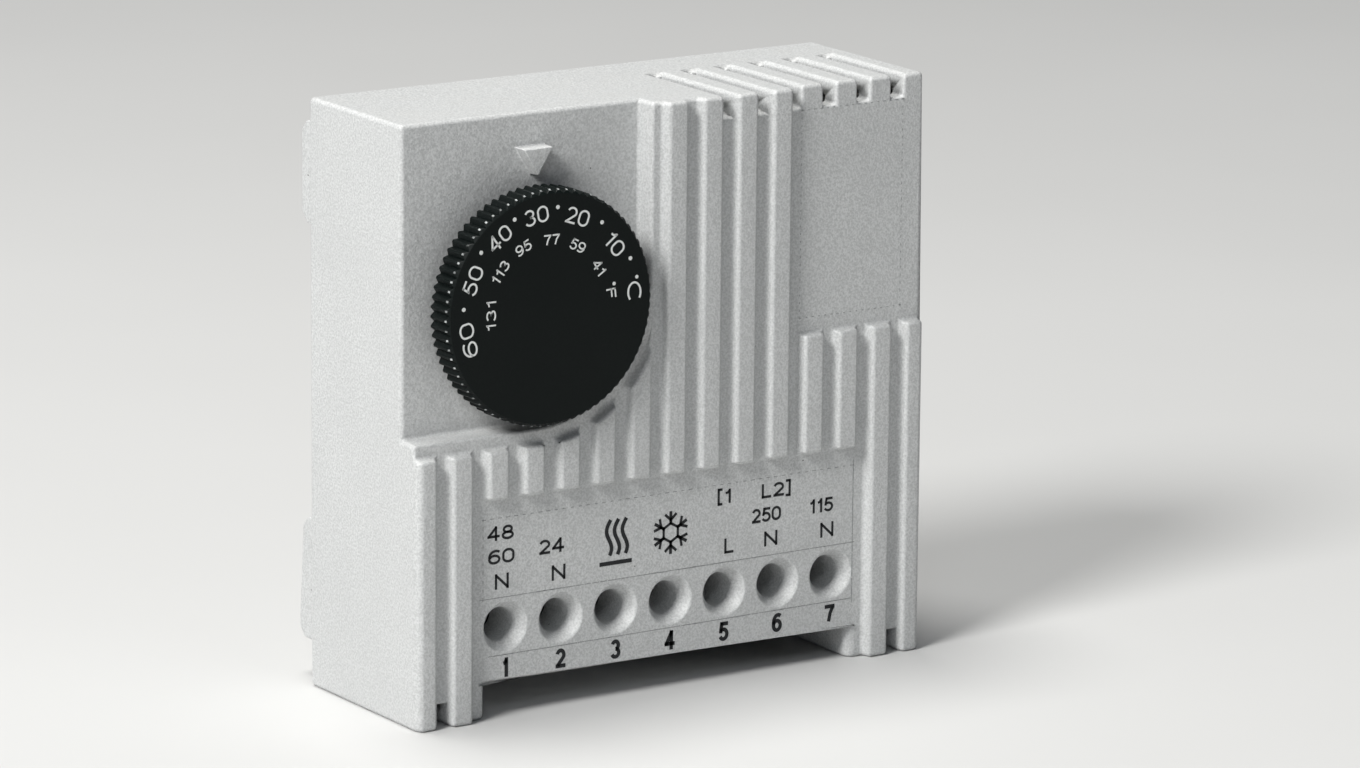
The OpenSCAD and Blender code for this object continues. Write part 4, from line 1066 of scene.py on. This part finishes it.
# %% Snowflake
ARMS = 6
ARM_STEP = 2 * math.pi / ARMS
ARM_FROM, ARM_TO = 1.15, 2.4
BRANCH_FROM, BRANCH_TO, BRANCH_WIDE = 1.55, 2.15, 0.68
ring_corner = (ARM_FROM * math.sin(ARM_STEP), ARM_FROM * math.cos(ARM_STEP))
arm = [stroke([(0, ARM_FROM), (0, ARM_TO)], 0.4),
       stroke([(-BRANCH_WIDE, BRANCH_TO), (0, BRANCH_FROM)], 0.34),
       stroke([(BRANCH_WIDE, BRANCH_TO), (0, BRANCH_FROM)], 0.34),
       stroke([(0, ARM_FROM), ring_corner], 0.32)]
upright = Matrix.Rotation(math.pi / 2, 4, "X")
arm_piece = one_piece("snow_arm", [(m, upright) for m in arm])
snow_mesh = arm_piece.data
bpy.data.objects.remove(arm_piece)
snow_place = Matrix.Translation((from_left(35.5), PANEL, 19.1 * MM))
snowflake = grow("snowflake", turn_tree, snow_mesh, snow_place,
                 Count=ARMS, Step=ARM_STEP, Weld=1e-8, Material=black_ink)
dress(snowflake, "housing", black_ink, "housing_plastic")


# %% [markdown]
# ## The latch spring
# The latch is pushed up by a small coil of round steel wire between the lug and the latch's window.
# The solid's wire has six sides, and smoothing it would make it thinner. Here the coil is a spiral
# swept with a round profile. The real coil shortens towards the lug as the latch slides down; this
# one rides the housing, keeps its length and doesn't ride the latch.

# %% Coil
WIRE = 0.25 * MM
COIL_RISE = 1.1 * MM

coil_tree, given, end = new_tree("round_coil", [
    ("Turns", "Float", 6.0), ("Radius", "Float", MM), ("Rise", "Float", MM), ("Wire", "Float", WIRE),
    ("Material", "Material", None)])
spiral = add(coil_tree, "GeometryNodeCurveSpiral", None, None, Resolution=28, Rotations=given["Turns"],
             Start_Radius=given["Radius"], End_Radius=given["Radius"], Height=given["Rise"]).outputs[0]
wire = add(coil_tree, "GeometryNodeCurvePrimitiveCircle", None, None, Resolution=12, Radius=given["Wire"])
swept = add(coil_tree, "GeometryNodeCurveToMesh", None, None, Curve=spiral,
            Profile_Curve=wire.outputs[0], Fill_Caps=True).outputs[0]
smooth = add(coil_tree, "GeometryNodeSetShadeSmooth", None, {0: swept}).outputs[0]
close_tree(coil_tree, smooth, given, end)

coil_low, coil_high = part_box("latch_spring")
coil_length = coil_high.z - coil_low.z
rise = coil_length - 2 * WIRE
middle = (coil_low + coil_high) / 2
coil = grow("coil_spring", coil_tree, None, Matrix.Translation((middle.x, middle.y, coil_low.z + WIRE)),
            Turns=float(int(rise / COIL_RISE)), Radius=(coil_high.x - coil_low.x) / 2 - WIRE,
            Rise=rise, Wire=WIRE, Material=zinc_steel)
dress(coil, "housing", zinc_steel, "steel", "latch_spring")
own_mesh(coil)


# %% [markdown]
# ## Finishes for the pieces that stay
# The inner pieces have the right shape as solids. They could be dressed like the cover, but most
# stay out of sight, so they keep their shape and only get their finish: each piece's material slots
# take the metal or plastic that the real piece is made of.

# %% Paint the remaining solids
finishes = {
    "housing_plastic": grey_housing, "knob_plastic": black_knob, "block_plastic": dark_block,
    "cam_plastic": white_cam, "steel": zinc_steel, "screw_plate": screw_zinc, "clamp_plate": yellow_zinc,
    "brass": turned_brass, "spring_bronze": blade_bronze, "bimetal": two_metals,
    "contact_silver": contact_silver, "magnet": magnet_nickel, "board": green_board,
    "resistor": banded_resistor}
painted = {part["node"]: finishes[part["material_slot"]] for part in frame["record"]["subparts"]}
for name, made in nodes.items():
    for place in made.material_slots:
        place.material = painted.get(name, zinc_steel)
print("painted", len(painted), "of", len(nodes), "missing", sorted(set(nodes) - set(painted)))


# %% [markdown]
# ## The floor
# The finished piece stands on a plain pale floor, so that nothing draws the eye from it. A curved
# studio sweep would also do, but a wide flat sheet of paper is enough at this angle. Its colour
# drifts a little.

# %% Floor
FLOOR_HALF = 3
floor_mesh = bpy.data.meshes.new("floor")
floor_mesh.from_pydata([(-FLOOR_HALF, -FLOOR_HALF, 0), (FLOOR_HALF, -FLOOR_HALF, 0),
                        (FLOOR_HALF, FLOOR_HALF, 0), (-FLOOR_HALF, FLOOR_HALF, 0)], [], [(0, 1, 2, 3)])
floor = bpy.data.objects.new("floor", floor_mesh)
bpy.context.scene.collection.objects.link(floor)
floor_paper, tree, shader = new_material("floor_paper")
shader.inputs["Roughness"].default_value = 0.6
fibres = place_group(tree, grain_group, Grain_Scale=400.0, Cloud_Scale=6.0)
paper = blend_colours(tree, fibres.outputs["Cloud"], (0.6, 0.6, 0.595, 1), (0.66, 0.66, 0.655, 1))
tree.links.new(paper, shader.inputs["Base Color"])
floor.data.materials.append(floor_paper)
print("floor", 2 * FLOOR_HALF, "m wide")


# %% [markdown]
# ## Light
# The left side and the top of the real box are about twice as bright as its front, and the shadows
# are soft. An even sky would light all sides alike, so three round lamps share the work. The strong
# one at the left lights the side, the one above lights the top and draws the shadows below the ribs,
# and a weak bluish one in front keeps the front from going dark. The world only adds a trace. The
# Standard view keeps the black knob black.

# %% Lights and surroundings
AIM = Vector((0, 0, 0.035))
WORLD_COLOUR = (0.8, 0.88, 1.0, 1)
WORLD_STRENGTH = 0.07


def soft_light(name, at, size, watts, colour):
    data = bpy.data.lights.new(name, "AREA")
    data.shape = "DISK"
    data.size = size
    data.energy = watts
    data.color = colour
    light = bpy.data.objects.new(name, data)
    bpy.context.scene.collection.objects.link(light)
    at = Vector(at)
    aim = (AIM - at).to_track_quat("-Z", "Y")
    light.matrix_world = Matrix.Translation(at) @ aim.to_matrix().to_4x4()


soft_light("tent_side", (-0.95, -0.31, 0.88), 0.45, 17.0, (1.0, 0.995, 0.98))
soft_light("top_panel", (-0.1, 0.2, 1.2), 0.5, 10.5, (1.0, 0.99, 0.96))
soft_light("front_key", (-0.75, -1.0, 0.9), 0.3, 1.3, (0.9, 0.95, 1.0))

world = bpy.data.worlds.new("studio")
world.use_nodes = True
sky = world.node_tree.nodes["Background"]
sky.inputs["Color"].default_value = WORLD_COLOUR
sky.inputs["Strength"].default_value = WORLD_STRENGTH
bpy.context.scene.world = world
bpy.context.scene.view_settings.view_transform = "Standard"
